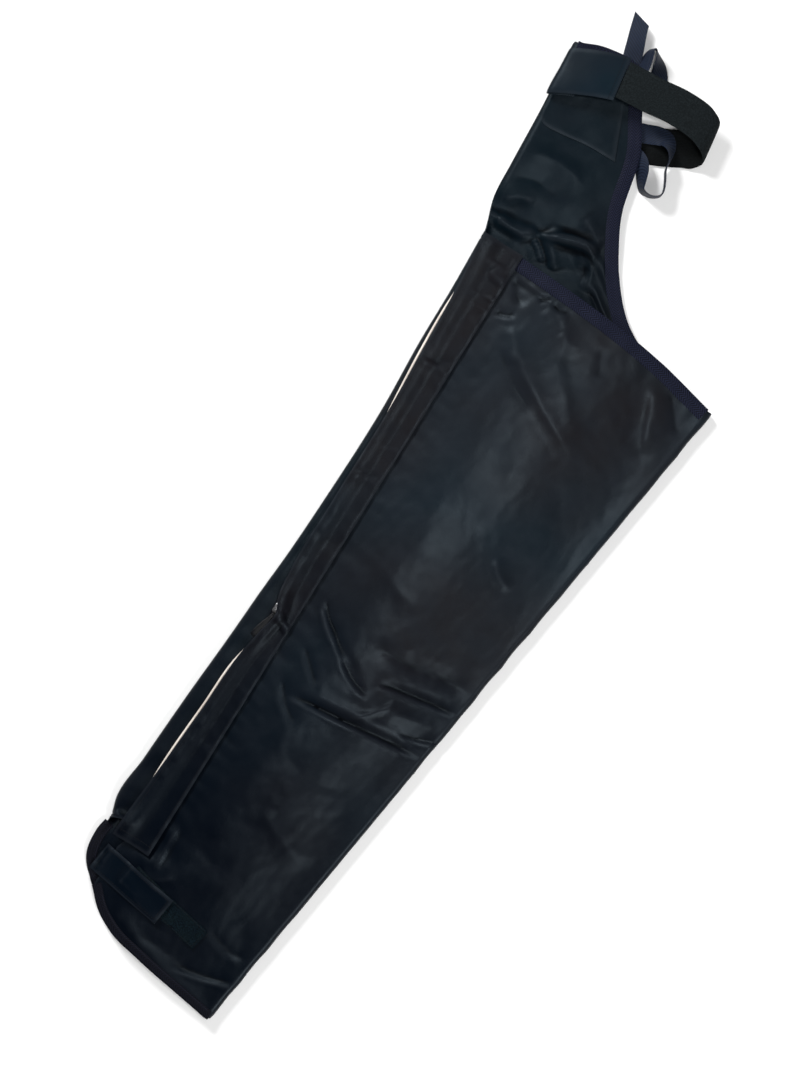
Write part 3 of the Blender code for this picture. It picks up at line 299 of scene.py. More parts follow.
# Gathers beside a seam: their pitch, depth, reach and seed
LEG_SEAM_PUCKERS = (0.011, 0.0009, 0.013, 8.2)
TOP_PUCKERS = (0.015, 0.0007, 0.020, 5.7)
HEM_PUCKERS = (0.012, 0.0005, 0.010, 2.4)
FLAP_SEAM_PUCKERS = (0.012, 0.0009, 0.010, 9.5)
FLAP_EDGE_PUCKERS = (0.016, 0.0006, 0.009, 1.7)
SOLID_FOLDS = 0.22  # share of the solid's own folds that stays under the finer creases
FOLD_WAVE = (0.0012, 0.045, 11.0)  # unevenness of the inner fold: its height, length and seed
WRAP_WAVE = (0.0009, 0.030, 4.4)  # the same round the outer fold
FRONT_SEED, HIP_SEED, FLAP_SEED = 3.1, 6.3, 12.9  # of the slack
FLAP_SLACK = 0.7  # share of the slack that the flap has
# Where the front's relief comes in, from what lies on it and over what length
BARE_FROM, HEM_FROM, TOP_FROM = (-0.012, 0.022), (0.0, 0.016), (0.004, 0.014)
FRONT_SIDE, FRONT_INNER = 0.10, 0.06  # the same from the sides, shares of the width
FOLD_ENDS, FLAP_ENDS = 0.04, 0.010  # the same from the ends of the inner fold and of the flap
HIP_FOLDS_TO, HIP_SIDE = 0.77, 0.08  # up to where the solid's folds reach, and the hip's side, shares
FLAP_LAY = (0.007, 70)  # how far round a point the flap keeps clear of what is below, and its easing
PATCH_LAY, TAB_LAY = (0.003, 4, 0.0008), (0.004, 8, 0.0012)  # the same two, and how far the corners curl
FLAP_SINK = -0.0003  # how far the flap's relief may go down
BAND_DENT, ELASTIC_DENT = (0.0007, 2.2), (0.0005, 7.4)  # depth and seed of the band's dents
DENT_SIZE = (0.030, 0.026)  # across and along
TAPE_SHARES = (1.0, 0.82, 0.62, 0.42, 0.22)  # where a tape is laid on its sheet, shares of its width
TAPE_EDGE = 0.55  # thickness of a tape's edge, share of TAPE
TAPE_CORNER = (0.2, 0.6)  # how a tape turns round the sheet's edge, shares of its distance from it
SLIDER_BULGE, PULLER_BULGE = 0.0003, 0.0002
CURL_FROM, SIDE_CURL = 0.8, 0.3  # where a strip's corners start to curl, and how much its sides do

# Creases: their points are millimetres right of the flap's seam and up from the hem's low corner, rise
# and width are millimetres, and lean makes one side steeper.
CREASE = "points rise width lean"
FRONT_CREASES = table(
    CREASE,
    (((14, 420), (24, 404), (44, 388), (66, 371)), -1.8, 6, 0.7),
    (((15, 406), (30, 391), (45, 380)), 1.3, 9, 0.0), (((57, 376), (78, 363), (102, 355)), -1.9, 6, 0.6),
    (((26, 315), (60, 320), (96, 323), (184, 332)), -2.0, 6, 0.8),
    (((34, 327), (96, 334), (150, 341)), 1.4, 14, 0.0),
    (((72, 404), (104, 402), (136, 405), (196, 414)), -1.7, 15, 0.4),
    (((99, 362), (107, 373), (137, 379), (190, 387)), -1.9, 6, 0.7),
    (((112, 385), (140, 392), (186, 400)), 1.3, 14, 0.0),
    (((94, 327), (110, 341), (124, 358), (126, 372)), 1.5, 6, 0.2),
    (((140, 342), (160, 344), (192, 356)), -1.4, 6, 0.6),
    (((120, 352), (150, 360), (180, 366)), 1.8, 16, 0.0), (((18, 328), (36, 307), (58, 292)), -1.4, 9, 0.5),
    (((20, 367), (36, 352), (53, 337)), -1.3, 7, 0.4), (((52, 268), (90, 258), (140, 262)), -0.9, 22, 0.3),
    (((36, 735), (60, 712), (84, 697), (112, 681), (156, 660)), 2.1, 15, 0.5),
    (((26, 722), (52, 698), (90, 680)), -1.1, 16, 0.0),
    (((178, 770), (186, 752), (205, 704)), 2.0, 16, 0.5),
    (((192, 778), (208, 757), (228, 735)), -1.8, 15, 0.3),
    (((3, 788), (14, 774), (28, 765)), -1.6, 10, 0.5), (((6, 791), (18, 788), (44, 787)), 1.3, 7, 0.5),
    (((37, 778), (42, 783), (48, 786)), -1.6, 5, 0.5), (((49, 784), (59, 781), (71, 784)), -1.5, 6, 0.6),
    (((5, 747), (14, 749), (26, 754)), -1.3, 6, 0.6), (((26, 746), (40, 728), (50, 709)), 1.2, 14, 0.3),
    (((70, 764), (82, 759), (101, 757)), 1.2, 16, 0.3), (((44, 772), (57, 771), (71, 776)), 1.1, 10, 0.4),
    (((62, 778), (78, 762), (84, 742)), 0.9, 10, 0.3), (((112, 772), (122, 756), (126, 742)), -0.9, 9, 0.3),
    (((134, 541), (146, 527), (166, 518)), 1.5, 10, 0.5),
    (((60, 598), (92, 560), (110, 520)), 0.9, 26, 0.2),
    (((150, 640), (168, 600), (176, 560)), -0.9, 24, 0.3),
    (((40, 480), (70, 462), (104, 456)), 1.0, 18, 0.3), (((74, 27), (109, 33), (142, 43)), -1.5, 7, 0.6),
    (((59, 18), (96, 10), (123, 17)), 1.3, 10, 0.4), (((12, 94), (11, 121), (9, 152)), 1.6, 8, 0.6),
    (((-4, 97), (15, 89), (37, 104)), 1.2, 9, 0.4), (((22, 34), (65, 34), (102, 25)), -1.0, 14, 0.4),
    (((90, 76), (115, 68), (139, 68)), -1.0, 8, 0.4), (((64, 206), (104, 192), (139, 174)), 1.3, 22, 0.3),
    (((-9, 46), (31, 32), (66, 7)), 1.0, 16, 0.3), (((30, 150), (60, 135), (100, 140)), -0.7, 26, 0.2),
    (((96, 210), (120, 190), (150, 184)), 0.8, 22, 0.3),
)
FLAP_CREASES = table(
    CREASE,
    (((-37, 784), (-28, 795), (-3, 793)), -2.0, 9, 0.6), (((-30, 758), (-13, 760), (6, 763)), -2.2, 7, 0.7),
    (((-24, 749), (-7, 748), (7, 748)), -1.6, 6, 0.6), (((-22, 781), (-11, 776), (3, 773)), 1.5, 14, 0.3),
    (((-34, 672), (-12, 675), (6, 673)), -1.2, 7, 0.6), (((-28, 579), (-8, 583), (10, 588)), -1.1, 7, 0.5),
    (((-32, 538), (-16, 544), (-2, 545)), -0.9, 7, 0.5), (((-34, 470), (-16, 466), (0, 470)), -0.7, 9, 0.4),
    (((-40, 374), (-28, 381), (-14, 379)), -1.0, 6, 0.5), (((-20, 390), (-9, 380), (3, 372)), -1.5, 7, 0.6),
    (((-24, 379), (-8, 372), (8, 365)), 1.2, 7, 0.5), (((-30, 300), (-14, 304), (2, 300)), -0.8, 9, 0.4),
    (((-34, 232), (-18, 236), (0, 231)), -0.7, 9, 0.4), (((-38, 168), (-16, 174), (0, 170)), -0.6, 9, 0.4),
)
HIP_CREASES = table(
    CREASE,
    (((-55, 834), (-35, 828), (-17, 827), (0, 829)), 3.6, 13, -0.5),
    (((-2, 832), (9, 825), (21, 814)), 3.0, 6, -0.6), (((8, 838), (24, 826), (34, 812)), 3.0, 12, 0.4),
    (((-6, 834), (18, 843), (42, 852), (67, 848)), 4.2, 12, -0.6),
    (((47, 831), (55, 839), (64, 836), (68, 824), (65, 810)), 3.0, 11, 0.6),
    (((67, 816), (79, 818), (95, 807), (114, 795)), 2.4, 6, 0.7),
    (((62, 801), (77, 800), (96, 796)), 1.5, 12, 0.3), (((48, 851), (65, 844), (77, 843)), 2.0, 8, 0.5),
    (((31, 873), (44, 868), (63, 860)), 2.2, 16, 0.3), (((-58, 868), (-30, 880), (10, 876)), -1.2, 16, 0.3),
    (((-56, 900), (-20, 908), (20, 900)), 1.3, 18, 0.3),
    (((-50, 846), (-34, 858), (-16, 862)), 1.6, 12, 0.3),
)


def smooth(share):
    """0 below 0, 1 above 1 and an even S between."""
    held = np.clip(share, 0.0, 1.0)
    return held * held * (3 - 2 * held)


def curve_through(places, values, at):
    """A smooth curve through values at places, read at at."""
    places = np.asarray(places, float)
    values = np.asarray(values, float)
    slopes = np.gradient(values, places, axis=0)
    at = np.clip(np.asarray(at, float), places[0], places[-1])
    low = np.clip(np.searchsorted(places, at, side="right") - 1, 0, len(places) - 2)
    step = places[low + 1] - places[low]
    share = (at - places[low]) / step
    if values.ndim > 1:
        step, share = step[..., None], share[..., None]
    cube, square = share**3, share**2
    return (
        (2 * cube - 3 * square + 1) * values[low]
        + (cube - 2 * square + share) * step * slopes[low]
        + (3 * square - 2 * cube) * values[low + 1]
        + (cube - square) * step * slopes[low + 1]
    )


def column_of(rows, name):
    return [getattr(row, name) for row in rows]


def section(name, y):
    return curve_through(column_of(SECTIONS, "along"), column_of(SECTIONS, name), y / LEG_LENGTH)


def outer_fold(y):
    """x of the leg's outer silhouette, down the leg and up the hip."""
    up = (y - LEG_LENGTH) / HIP_RISE
    hip = curve_through(column_of(HIP_SECTIONS, "up"), column_of(HIP_SECTIONS, "outer"), up)
    return -OUTER_REACH * np.where(y < LEG_LENGTH, section("outer", y), hip)


def inner_fold(y):
    """x of the leg's inner silhouette."""
    return INNER_HEM + (INNER_THIGH - INNER_HEM) * y / (LEG_LENGTH * FRONT_TOP[-1].height)


def flap_edge(y):
    return -FLAP_WIDTH * section("flap", y)


def zip_middle(y):
    share = np.clip((y - ZIP_END) / (LEG_LENGTH - ZIP_END), 0.0, 1.0)
    return -OUTER_REACH * (ZIP_REACH_LOW + (ZIP_REACH_HIGH - ZIP_REACH_LOW) * share)


def leg_row(share, column):
    """y of a row of the leg at a column: rows follow the hem at first and then run straight across."""
    hem = HEM_RISE * curve_through(column_of(HEM, "across"), column_of(HEM, "height"), column)
    return share * LEG_LENGTH + hem * (1 - smooth(share / HEM_BLEND))


# Relief


def fold_relief(folds, x, y):
    """Height that the solids' own folds add at x, y."""
    total = np.zeros(np.broadcast(x, y).shape)
    for fold in folds:
        start = np.array([fold.across0 * INNER_THIGH, fold.along0 * LEG_LENGTH])
        run = np.array([fold.across1 * INNER_THIGH, fold.along1 * LEG_LENGTH]) - start
        length = math.hypot(*run)
        ahead = ((x - start[0]) * run[0] + (y - start[1]) * run[1]) / length
        aside = ((x - start[0]) * run[1] - (y - start[1]) * run[0]) / length
        width = fold.width * INNER_THIGH
        ends = smooth(ahead / length * 4) * smooth((1 - ahead / length) * 4)
        total += fold.depth * PUFF * ends * np.exp(-((2 * aside / width) ** 2))
    return total


def crease_relief(creases, x, y):
    """Height that the creases add at x, y."""
    total = np.zeros(x.shape)
    for crease in creases:
        knots = np.array(crease.points) / 1000
        points = curve_through(np.arange(len(knots)), knots, np.linspace(0, len(knots) - 1, 12))
        steps = np.diff(points, axis=0)
        lengths = np.hypot(steps[:, 0], steps[:, 1])
        away, aside, share = np.full(x.shape, np.inf), np.zeros(x.shape), np.zeros(x.shape)
        done = 0.0
        for start, step, length in zip(points, steps, lengths):
            ahead = np.clip(((x - start[0]) * step[0] + (y - start[1]) * step[1]) / length**2, 0, 1)
            right, up = x - start[0] - ahead * step[0], y - start[1] - ahead * step[1]
            far = np.hypot(right, up)
            nearer = far < away
            away = np.where(nearer, far, away)
            aside = np.where(nearer, np.sign(step[0] * up - step[1] * right) * far, aside)
            share = np.where(nearer, (done + ahead * length) / lengths.sum(), share)
            done += length
        ends = smooth(share * 4) * smooth((1 - share) * 4)
        steep = aside < 0
        side = np.where(steep, 1 - STEEPER * crease.lean, 1 + crease.lean)
        across = 2 * np.abs(aside) / (crease.width / 1000 * side)
        bank = np.exp(-(((across - BANK[1]) / BANK[2]) ** 2)) * smooth(across)
        shape = np.exp(-(across**CUSP)) - BANK[0] * crease.lean * steep * bank
        total += crease.rise / 1000 * ends * shape
    return total


def ripple(x, y, across, along, seed):
    """Smooth noise from about -1 to 1, with bumps across by along metres."""
    x, y = np.broadcast_arrays(x, y)
    spots = zip((x / across).ravel(), (y / along).ravel())
    return np.array([noise.noise(Vector((a, b, seed))) for a, b in spots]).reshape(x.shape) * 1.6


def slack(x, y, seed):
    """The soft unevenness of lined cloth that lies loose."""
    return sum(
        height * ripple(x + lean * y, y, across, along, seed + more)
        for height, across, along, lean, more in SLACK
    )


def puckers(away, along, pitch, depth, reach, seed):
    """Small gathers beside a seam: away from it and along it."""
    return depth * np.exp(-np.abs(away) / reach) * ripple(along + 0.2 * away, away, pitch, 0.05, seed)


# Closed meshes from grids and sections


def settle(obj, look, slot, *nodes):
    """Puts a new piece on the frame, as what is seen of those CAD nodes."""
    obj.data.materials.append(look)
    places = np.zeros(len(obj.data.vertices) * 3)
    obj.data.vertices.foreach_get("co", places)
    places = places.reshape(-1, 3) + np.array(Vector(SEAM_AND_HEM))
    places[:, 2] = np.maximum(places[:, 2], 0.0)
    obj.data.vertices.foreach_set("co", places.ravel())
    obj.data.update()
    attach(obj, "root")
    if nodes:
        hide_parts(*nodes)


def add_object(name, points, faces, uvs):
    """A smooth mesh object whose faces look outwards; uvs holds a pair for each face corner."""
    points = np.asarray(points, float)
    volume = 0.0
    for face in faces:
        first = points[face[0]]
        for second, third in zip(face[1:-1], face[2:]):
            volume += np.dot(first, np.cross(points[second], points[third]))
    if volume < 0:
        faces = [face[::-1] for face in faces]
        uvs = [pairs[::-1] for pairs in uvs]
    mesh = bpy.data.meshes.new(name)
    mesh.from_pydata(points.tolist(), [], faces)
    layer = mesh.uv_layers.new(name="Cut")
    layer.data.foreach_set("uv", np.array([pair for pairs in uvs for pair in pairs], float).ravel())
    mesh.polygons.foreach_set("use_smooth", [True] * len(mesh.polygons))
    mesh.set_sharp_from_angle(angle=math.radians(60))
    mesh.update()
    obj = bpy.data.objects.new(name, mesh)
    bpy.context.scene.collection.objects.link(obj)
    return obj


def grid_normals(grid):
    """Unit normal at each point of a grid, from the faces round it."""
    faces = np.cross(grid[1:, 1:] - grid[:-1, :-1], grid[1:, :-1] - grid[:-1, 1:])
    faces /= np.linalg.norm(faces, axis=-1, keepdims=True) + 1e-12
    total = np.zeros_like(grid)
    for rows in (slice(None, -1), slice(1, None)):
        for columns in (slice(None, -1), slice(1, None)):
            total[rows, columns] += faces
    return total / (np.linalg.norm(total, axis=-1, keepdims=True) + 1e-12)


def lengths_along(grid, axis):
    """Distance of each grid point from the first, along an axis."""
    step = np.linalg.norm(np.diff(grid, axis=axis), axis=-1)
    start = np.zeros_like(grid[:1, :, 0] if axis == 0 else grid[:, :1, 0])
    return np.concatenate([start, np.cumsum(step, axis=axis)], axis=axis)


def border_profile(count):
    profile = np.ones(count)
    for index, share in enumerate(ROUND_EDGE):
        profile[index] = profile[-1 - index] = share
    return profile


def cloth(name, grid, thickness):
    """A closed sheet with soft borders whose middle is the grid."""
    rows, columns = grid.shape[:2]
    thin = np.minimum(border_profile(rows)[:, None], border_profile(columns)[None, :])[..., None]
    out = grid_normals(grid) * thickness / 2 * thin
    points = np.concatenate([(grid + out).reshape(-1, 3), (grid - out).reshape(-1, 3)])
    spots = np.stack([lengths_along(grid, 0), lengths_along(grid, 1)], axis=-1).reshape(-1, 2)
    under = rows * columns
    faces = []
    for i in range(rows - 1):
        for j in range(columns - 1):
            a, b = i * columns + j, (i + 1) * columns + j
            faces.append((a, a + 1, b + 1, b))
            faces.append((b + under, b + 1 + under, a + 1 + under, a + under))
    border = [(0, j) for j in range(columns)] + [(i, columns - 1) for i in range(1, rows)]
    border += [(rows - 1, j) for j in range(columns - 2, -1, -1)]
    border += [(i, 0) for i in range(rows - 2, 0, -1)]
    ring = [i * columns + j for i, j in border]
    for a, b in zip(ring, ring[1:] + ring[:1]):
        faces.append((b, a, a + under, b + under))
    uvs = [[spots[corner % under] for corner in face] for face in faces]
    return add_object(name, points, faces, uvs)


def face_inside(sheet, look):
    """Gives a closed sheet's under side a look of its own."""
    sheet.data.materials.append(look)
    for face in sheet.data.polygons:
        face.material_index = (face.index + 1) % 2


def swept(name, sections, across):
    """A closed bar through sections, rings of points; across is each ring point's place, in metres."""
    sections = np.asarray(sections)
    count, sides = sections.shape[:2]
    along = np.concatenate([[0], np.cumsum(np.linalg.norm(np.diff(sections[:, 0], axis=0), axis=1))])
    faces, uvs = [], []
    for i in range(count - 1):
        for j in range(sides):
            k = (j + 1) % sides
            faces.append((i * sides + j, i * sides + k, (i + 1) * sides + k, (i + 1) * sides + j))
            near, far = across[j], across[k] if k else across[j]
            uvs.append([(along[i], near), (along[i], far), (along[i + 1], far), (along[i + 1], near)])
    last = (count - 1) * sides
    half = sides // 2
    for k in range(half - 1):
        cap = (k, k + 1, sides - 2 - k, sides - 1 - k)
        faces.append(tuple(reversed(cap)))
        faces.append(tuple(last + index for index in cap))
        uvs.append([(along[0], across[index]) for index in reversed(cap)])
        uvs.append([(along[-1], across[index]) for index in cap])
    return add_object(name, sections.reshape(-1, 3), faces, uvs)


def surface_of(*objects):
    """One tree of all the objects' faces, before they are moved onto the frame."""
    points, faces = [], []
    for obj in objects:
        faces += [tuple(i + len(points) for i in face.vertices) for face in obj.data.polygons]
        points += [vertex.co.copy() for vertex in obj.data.vertices]
    return BVHTree.FromPolygons(points, faces)


def top_at(tree, x, y):
    """Highest point of the surface over x, y, or the floor."""
    hit = tree.ray_cast(Vector((x, y, 1.0)), Vector((0, 0, -1)))[0]
    return hit.z if hit else 0.0


def surface_at(tree, point):
    """The surface over or under a point and its normal."""
    hit, normal = tree.ray_cast(Vector((point[0], point[1], 1.0)), Vector((0, 0, -1)))[:2]
    if hit is None:
        return np.array(point), np.array([0.0, 0.0, 1.0])
    return np.array(hit), np.array(normal)


def lay(grid, tree, lift, reach, ease):
    """The grid, laid on a surface and eased between its points without sinking into it."""
    spots = [(0.0, 0.0)] + [(a * reach, b * reach) for a, b in ((-1, 0), (1, 0), (0, -1), (0, 1))]
    least = [[max(top_at(tree, p[0] + a, p[1] + b) for a, b in spots) for p in row] for row in grid]
    least = np.array(least)
    height = least.copy()
    for _ in range(ease):
        edged = np.pad(height, 1, mode="edge")
        mean = (edged[:-2, 1:-1] + edged[2:, 1:-1] + edged[1:-1, :-2] + edged[1:-1, 2:]) / 4
        height = np.maximum(least, mean)
    laid = grid.copy()
    laid[..., 2] = height + lift
    return laid


# The leg's two panels


def front_left(y):
    """x of the front panel's outer edge: beside the zip, and free below the zip's end."""
    beside = zip_middle(y) + ZIP_WIDTH / 2 + ZIP_SIDE_GAP
    loose = -LOOSE_REACH * OUTER_REACH
    return loose + (beside - loose) * smooth((y / ZIP_END - CLOSE_FROM) / CLOSE_OVER)


def front_height(share, y):
    """Middle of the front panel's cloth above the surface, from the zip (0) to the inner fold (1)."""
    edge = CLOTH / 2 + 2 * FOLD_RADIUS
    loose = CLOTH / 2 + LOOSE_HEIGHT * FOLD_RADIUS
    outer = loose + (edge - loose) * smooth((y / ZIP_END - RISE_FROM) / CLOSE_OVER)
    crown = smooth(share / CROWN_OUTER) * smooth((1 - share) / CROWN_INNER)
    side = outer + (edge - outer) * smooth(share / SIDE_EASE)
    return side + (PUFF * section("rise", y) - edge) * crown


def fade(away, start, length):
    """0 up to start, and 1 from start + length on."""
    return smooth((away - start) / length)


def front_relief(x, y, shares, top):
    """Creases, slack and gathers of the front panel; they fade under the flap and at the bound edges."""
    above_hem = y - leg_row(0.0, shares)
    bare, hem = fade(x, *BARE_FROM), fade(above_hem, *HEM_FROM)
    creases = crease_relief(FRONT_CREASES, x, y)
    clear = smooth(x / (FOLD_CLEAR[0] * INNER_THIGH)) * smooth((1 - shares) / FOLD_CLEAR[1])
    creases += SOLID_FOLDS * (fold_relief(FRONT_FOLDS, x, y) * clear)
    loose = slack(x, y, FRONT_SEED) * smooth((1 - shares) / FRONT_INNER)
    loose += puckers(x, y, *LEG_SEAM_PUCKERS) * bare
    loose += puckers(top - y - BINDING, x, *TOP_PUCKERS)
    loose += puckers(above_hem - CORNER_BINDING, x, *HEM_PUCKERS)
    return creases * bare * hem * fade(top - y, *TOP_FROM) + loose * smooth(shares / FRONT_SIDE) * hem


def front_grid():
    """Middle of the front panel: across the top, round the inner fold and back to the inner seam."""
    shares = np.linspace(0.0, 1.0, FRONT_COLUMNS)
    tops = curve_through(column_of(FRONT_TOP, "across"), column_of(FRONT_TOP, "height"), shares)
    ends = np.linspace(0.0, 1.0, FRONT_ROWS)[:, None]
    late = smooth((ends - 1 + TOP_BLEND) / TOP_BLEND)
    y = leg_row(ends, shares[None, :]) + (tops - 1) * LEG_LENGTH * late
    right = inner_fold(y) - FOLD_RADIUS - CLOTH / 2
    x = front_left(y) + (right - front_left(y)) * shares
    relief = front_relief(x, y, shares[None, :], y[-1][None, :])
    z = front_height(shares[None, :], y) + relief
    flat = np.stack([x, y, z], axis=-1)
    turns = np.pi * np.arange(1, FOLD_STEPS + 1) / FOLD_STEPS
    rise, long, seed = FOLD_WAVE
    uneven = rise * ripple(np.zeros(len(y)), y[:, -1], 1.0, long, seed)
    uneven *= smooth(y[:, -1] / FOLD_ENDS) * smooth((y[-1, -1] - y[:, -1]) / FOLD_ENDS)
    side = right[:, -1:] + FOLD_RADIUS * np.sin(turns) - np.abs(uneven[:, None]) * np.sin(turns)
    height = CLOTH / 2 + FOLD_RADIUS * (1 + np.cos(turns)) + relief[:, -1:] * (1 + np.cos(turns)) / 2
    fold = np.stack([side, np.broadcast_to(y[:, -1:], side.shape), height], axis=-1)
    seam_x = inner_fold(y[:, -1]) - SEAM_INSET + GAP / 2
    seam = np.stack([seam_x, y[:, -1], np.full(len(y), CLOTH / 2)], axis=-1)
    between = (fold[:, -1] + seam) / 2
    return np.concatenate([flat, fold, between[:, None], seam[:, None]], axis=1)


def hip_lift(y):
    return HIP_LIFT * smooth((y / LEG_LENGTH - LIFT_FROM) / LIFT_OVER)


def outer_wrap(y):
    """Curvature of the back panel's outer edge at y, and the length of cloth that goes round it.

    Down the leg the cloth goes up round the outer fold and back to the zip.  At the hip it rolls down, and
    below the zip's end it only lifts a little.
    """
    leg = smooth((y / ZIP_END - WRAP_FROM) / WRAP_OVER) * smooth((LEG_LENGTH + WRAP_PAST - y) / WRAP_EASE)
    flat = zip_middle(y) - ZIP_WIDTH / 2 - ZIP_SIDE_GAP - outer_fold(y) - FOLD_RADIUS - CLOTH / 2
    full = math.pi * FOLD_RADIUS + max(float(flat), LEAST_TURN_BACK)
    down = 2 * hip_lift(y) / HIP_TURN**2
    hip = smooth((y - LEG_LENGTH) / HIP_EASE)
    low = CORNER_CURL / FOLD_RADIUS * smooth((y - HEM_RISE) / CURL_EASE)
    curve = (low + (1 / FOLD_RADIUS - low) * leg) * (1 - hip) - down * hip
    return float(curve), float(HIP_TURN + (full - HIP_TURN) * leg)


def wrap_start(y):
    """x where the back panel leaves the surface to go round the outer fold."""
    curve, length = outer_wrap(y)
    if abs(curve) < FLAT_CURVE:
        return float(outer_fold(y)) + length
    radius = 1 / abs(curve)
    reach = radius if length > radius * math.pi / 2 else radius * math.sin(length / radius)
    return float(outer_fold(y)) + reach + CLOTH / 2


def wrap_row(start_x, y, base_z):
    """Points from the cloth's outer edge back round the outer fold to start_x."""
    curve, length = outer_wrap(y)
    full_turn = math.pi / curve if curve > FLAT_CURVE else math.inf
    count = FOLD_STEPS + FLAT_STEPS
    stops = [length * step / count for step in range(1, count + 1)]
    if length > full_turn:
        stops = [full_turn * step / FOLD_STEPS for step in range(1, FOLD_STEPS + 1)]
        stops += [full_turn + (length - full_turn) * step / FLAT_STEPS for step in range(1, FLAT_STEPS + 1)]
    row = []
    for stop in stops:
        turn = min(stop, full_turn) * curve
        side = math.sin(turn) / curve if abs(curve) > FLAT_CURVE else stop
        rise = (1 - math.cos(turn)) / curve if abs(curve) > FLAT_CURVE else 0.0
        row.append((start_x - side + max(stop - full_turn, 0.0), y, base_z + rise))
    return row[::-1]


def back_top(columns):
    """Points of the back panel's top edge; the waist edge and the hip edge meet in a corner."""
    places = column_of(BACK_TOP, "column")
    points = np.array([(p.across * INNER_THIGH, LEG_LENGTH + p.up * HIP_RISE) for p in BACK_TOP])
    corner = WAIST_CORNER
    waist = curve_through(places[: corner + 1], points[: corner + 1], columns)
    side = curve_through(places[corner:], points[corner:], columns)
    return np.where(columns[:, None] <= places[corner], waist, side)


def back_columns():
    """Shares across the back panel; one falls on the corner of its top edge."""
    corner = BACK_TOP[WAIST_CORNER].column
    first = round(BACK_COLUMNS * corner)
    waist = np.linspace(0.0, corner, first, endpoint=False)
    return np.concatenate([waist, np.linspace(corner, 1.0, BACK_COLUMNS - first)])


def back_grid():
    """Middle of the back panel: from the zip, down round the outer fold and across under the leg."""
    columns = back_columns()
    rows = []
    for share in np.linspace(0.0, 1.0, LEG_ROWS) * LAST_LEG_ROW:
        y = leg_row(share, columns)
        left = wrap_start(y[0])
        x = left + (inner_fold(y) - SEAM_INSET - GAP / 2 - left) * columns
        corner = (1 - smooth(columns / CORNER_WIDE)) * (1 - smooth((y / ZIP_END - RISE_FROM) * 4))
        z = CLOTH / 2 + EDGE_LIFT * np.maximum(smooth(1 - share / FIRST_LEG_ROW), corner)
        rows.append(wrap_row(x[0], y[0], z[0]) + list(zip(x, y, z)))
    base = np.array(rows[-1][-len(columns):])[:, :2]
    top = back_top(columns)
    for share in np.linspace(0.0, 1.0, HIP_ROWS + 1)[1:]:
        plan = base + (top - base) * share
        plan[:, 0] += (wrap_start(plan[0, 1]) - plan[0, 0]) * (1 - columns) ** 3
        plan[-1, 0] = inner_fold(plan[-1, 1]) - SEAM_INSET - GAP / 2
        lift = np.maximum(hip_lift(plan[:, 1]), EDGE_LIFT * smooth((share - LIFT_SHARE) / (1 - LIFT_SHARE)))
        free = smooth((1 - share) * 5) * smooth(share * 6)
        relief = fold_relief(HIP_FOLDS, plan[:, 0], plan[:, 1]) * smooth((HIP_FOLDS_TO - share) * 6)
        relief += crease_relief(HIP_CREASES, plan[:, 0], plan[:, 1]) * free
        relief += slack(plan[:, 0], plan[:, 1], HIP_SEED) * free * smooth(columns / HIP_SIDE)
        z = CLOTH / 2 + np.maximum(lift + relief, 0.0)
        rows.append(wrap_row(plan[0, 0], plan[0, 1], z[0]) + list(zip(plan[:, 0], plan[:, 1], z)))
    grid = np.array(rows)
    rise, long, seed = WRAP_WAVE
    bump = rise * ripple(np.zeros(len(grid)), grid[:, 0, 1], 1.0, long, seed)
    turning = smooth((grid[..., 2] - CLOTH) / FOLD_RADIUS) * (grid[..., 1] < LEG_LENGTH)
    around = np.arange(grid.shape[1]) < FOLD_STEPS + FLAT_STEPS
    grid[..., 2] -= np.abs(bump[:, None]) * turning * around
    return grid


# Bindings


def edge_path(grid, cells, step):
    """Points along a sheet's edge with the sheet's normals, about step apart."""
    normal = grid_normals(grid)
    line = np.array([grid[cell] for cell in cells])
    ups = np.array([normal[cell] for cell in cells])
    places = np.concatenate([[0], np.cumsum(np.linalg.norm(np.diff(line, axis=0), axis=1))])
    at = np.linspace(0, places[-1], max(3, round(places[-1] / step)))
    points = np.stack([np.interp(at, places, line[:, k]) for k in range(3)], axis=1)
    normals = np.stack([np.interp(at, places, ups[:, k]) for k in range(3)], axis=1)
    return points, normals / np.linalg.norm(normals, axis=1, keepdims=True)


def inward_of(points, left):
    ahead = np.gradient(points[:, :2], axis=0)
    ahead /= np.linalg.norm(ahead, axis=1, keepdims=True)
    return np.stack([-ahead[:, 1], ahead[:, 0], np.zeros(len(ahead))], axis=1) * (1 if left else -1)


def binding(name, sheet, grid, cells, width, left):
    """Woven tape folded over a sheet's edge; left says that the sheet lies left of the way along cells."""
    points, normals = edge_path(grid, cells, BINDING_STEP)
    inward = inward_of(points, left)
    tree = surface_of(sheet)
    near, far = 0.5 * BINDING_GAP, BINDING_GAP + TAPE
    round_over, round_down = TAPE_CORNER
    rings = []
    for edge, up, into in zip(points, normals, inward):
        over = [surface_at(tree, edge + into * width * share) for share in TAPE_SHARES]
        under, under_up = surface_at(tree, edge + into * BINDING_UNDER)
        under = under - under_up * CLOTH
        top, low = edge + up * CLOTH / 2, edge - up * CLOTH / 2
        outside, inside = (
            [point + turned * off for point, turned in over]
            + [top + up * off - into * off * round_over, top + up * off * round_down - into * off]
            + [low - up * off * round_down - into * off, low - up * off - into * off * round_over]
            + [under - under_up * off]
            for off in (far, near)
        )
        outside[0] = over[0][0] + over[0][1] * (near + TAPE * TAPE_EDGE)
        rings.append(outside + inside[::-1])
    rings = np.array(rings)
    step = np.linalg.norm(np.diff(rings[len(rings) // 2], axis=0), axis=1)
    return swept(name, rings, np.concatenate([[0], np.cumsum(step)]))


# Flap, piping and zip


def zip_height():
    return CLOTH / 2 + 2 * FOLD_RADIUS


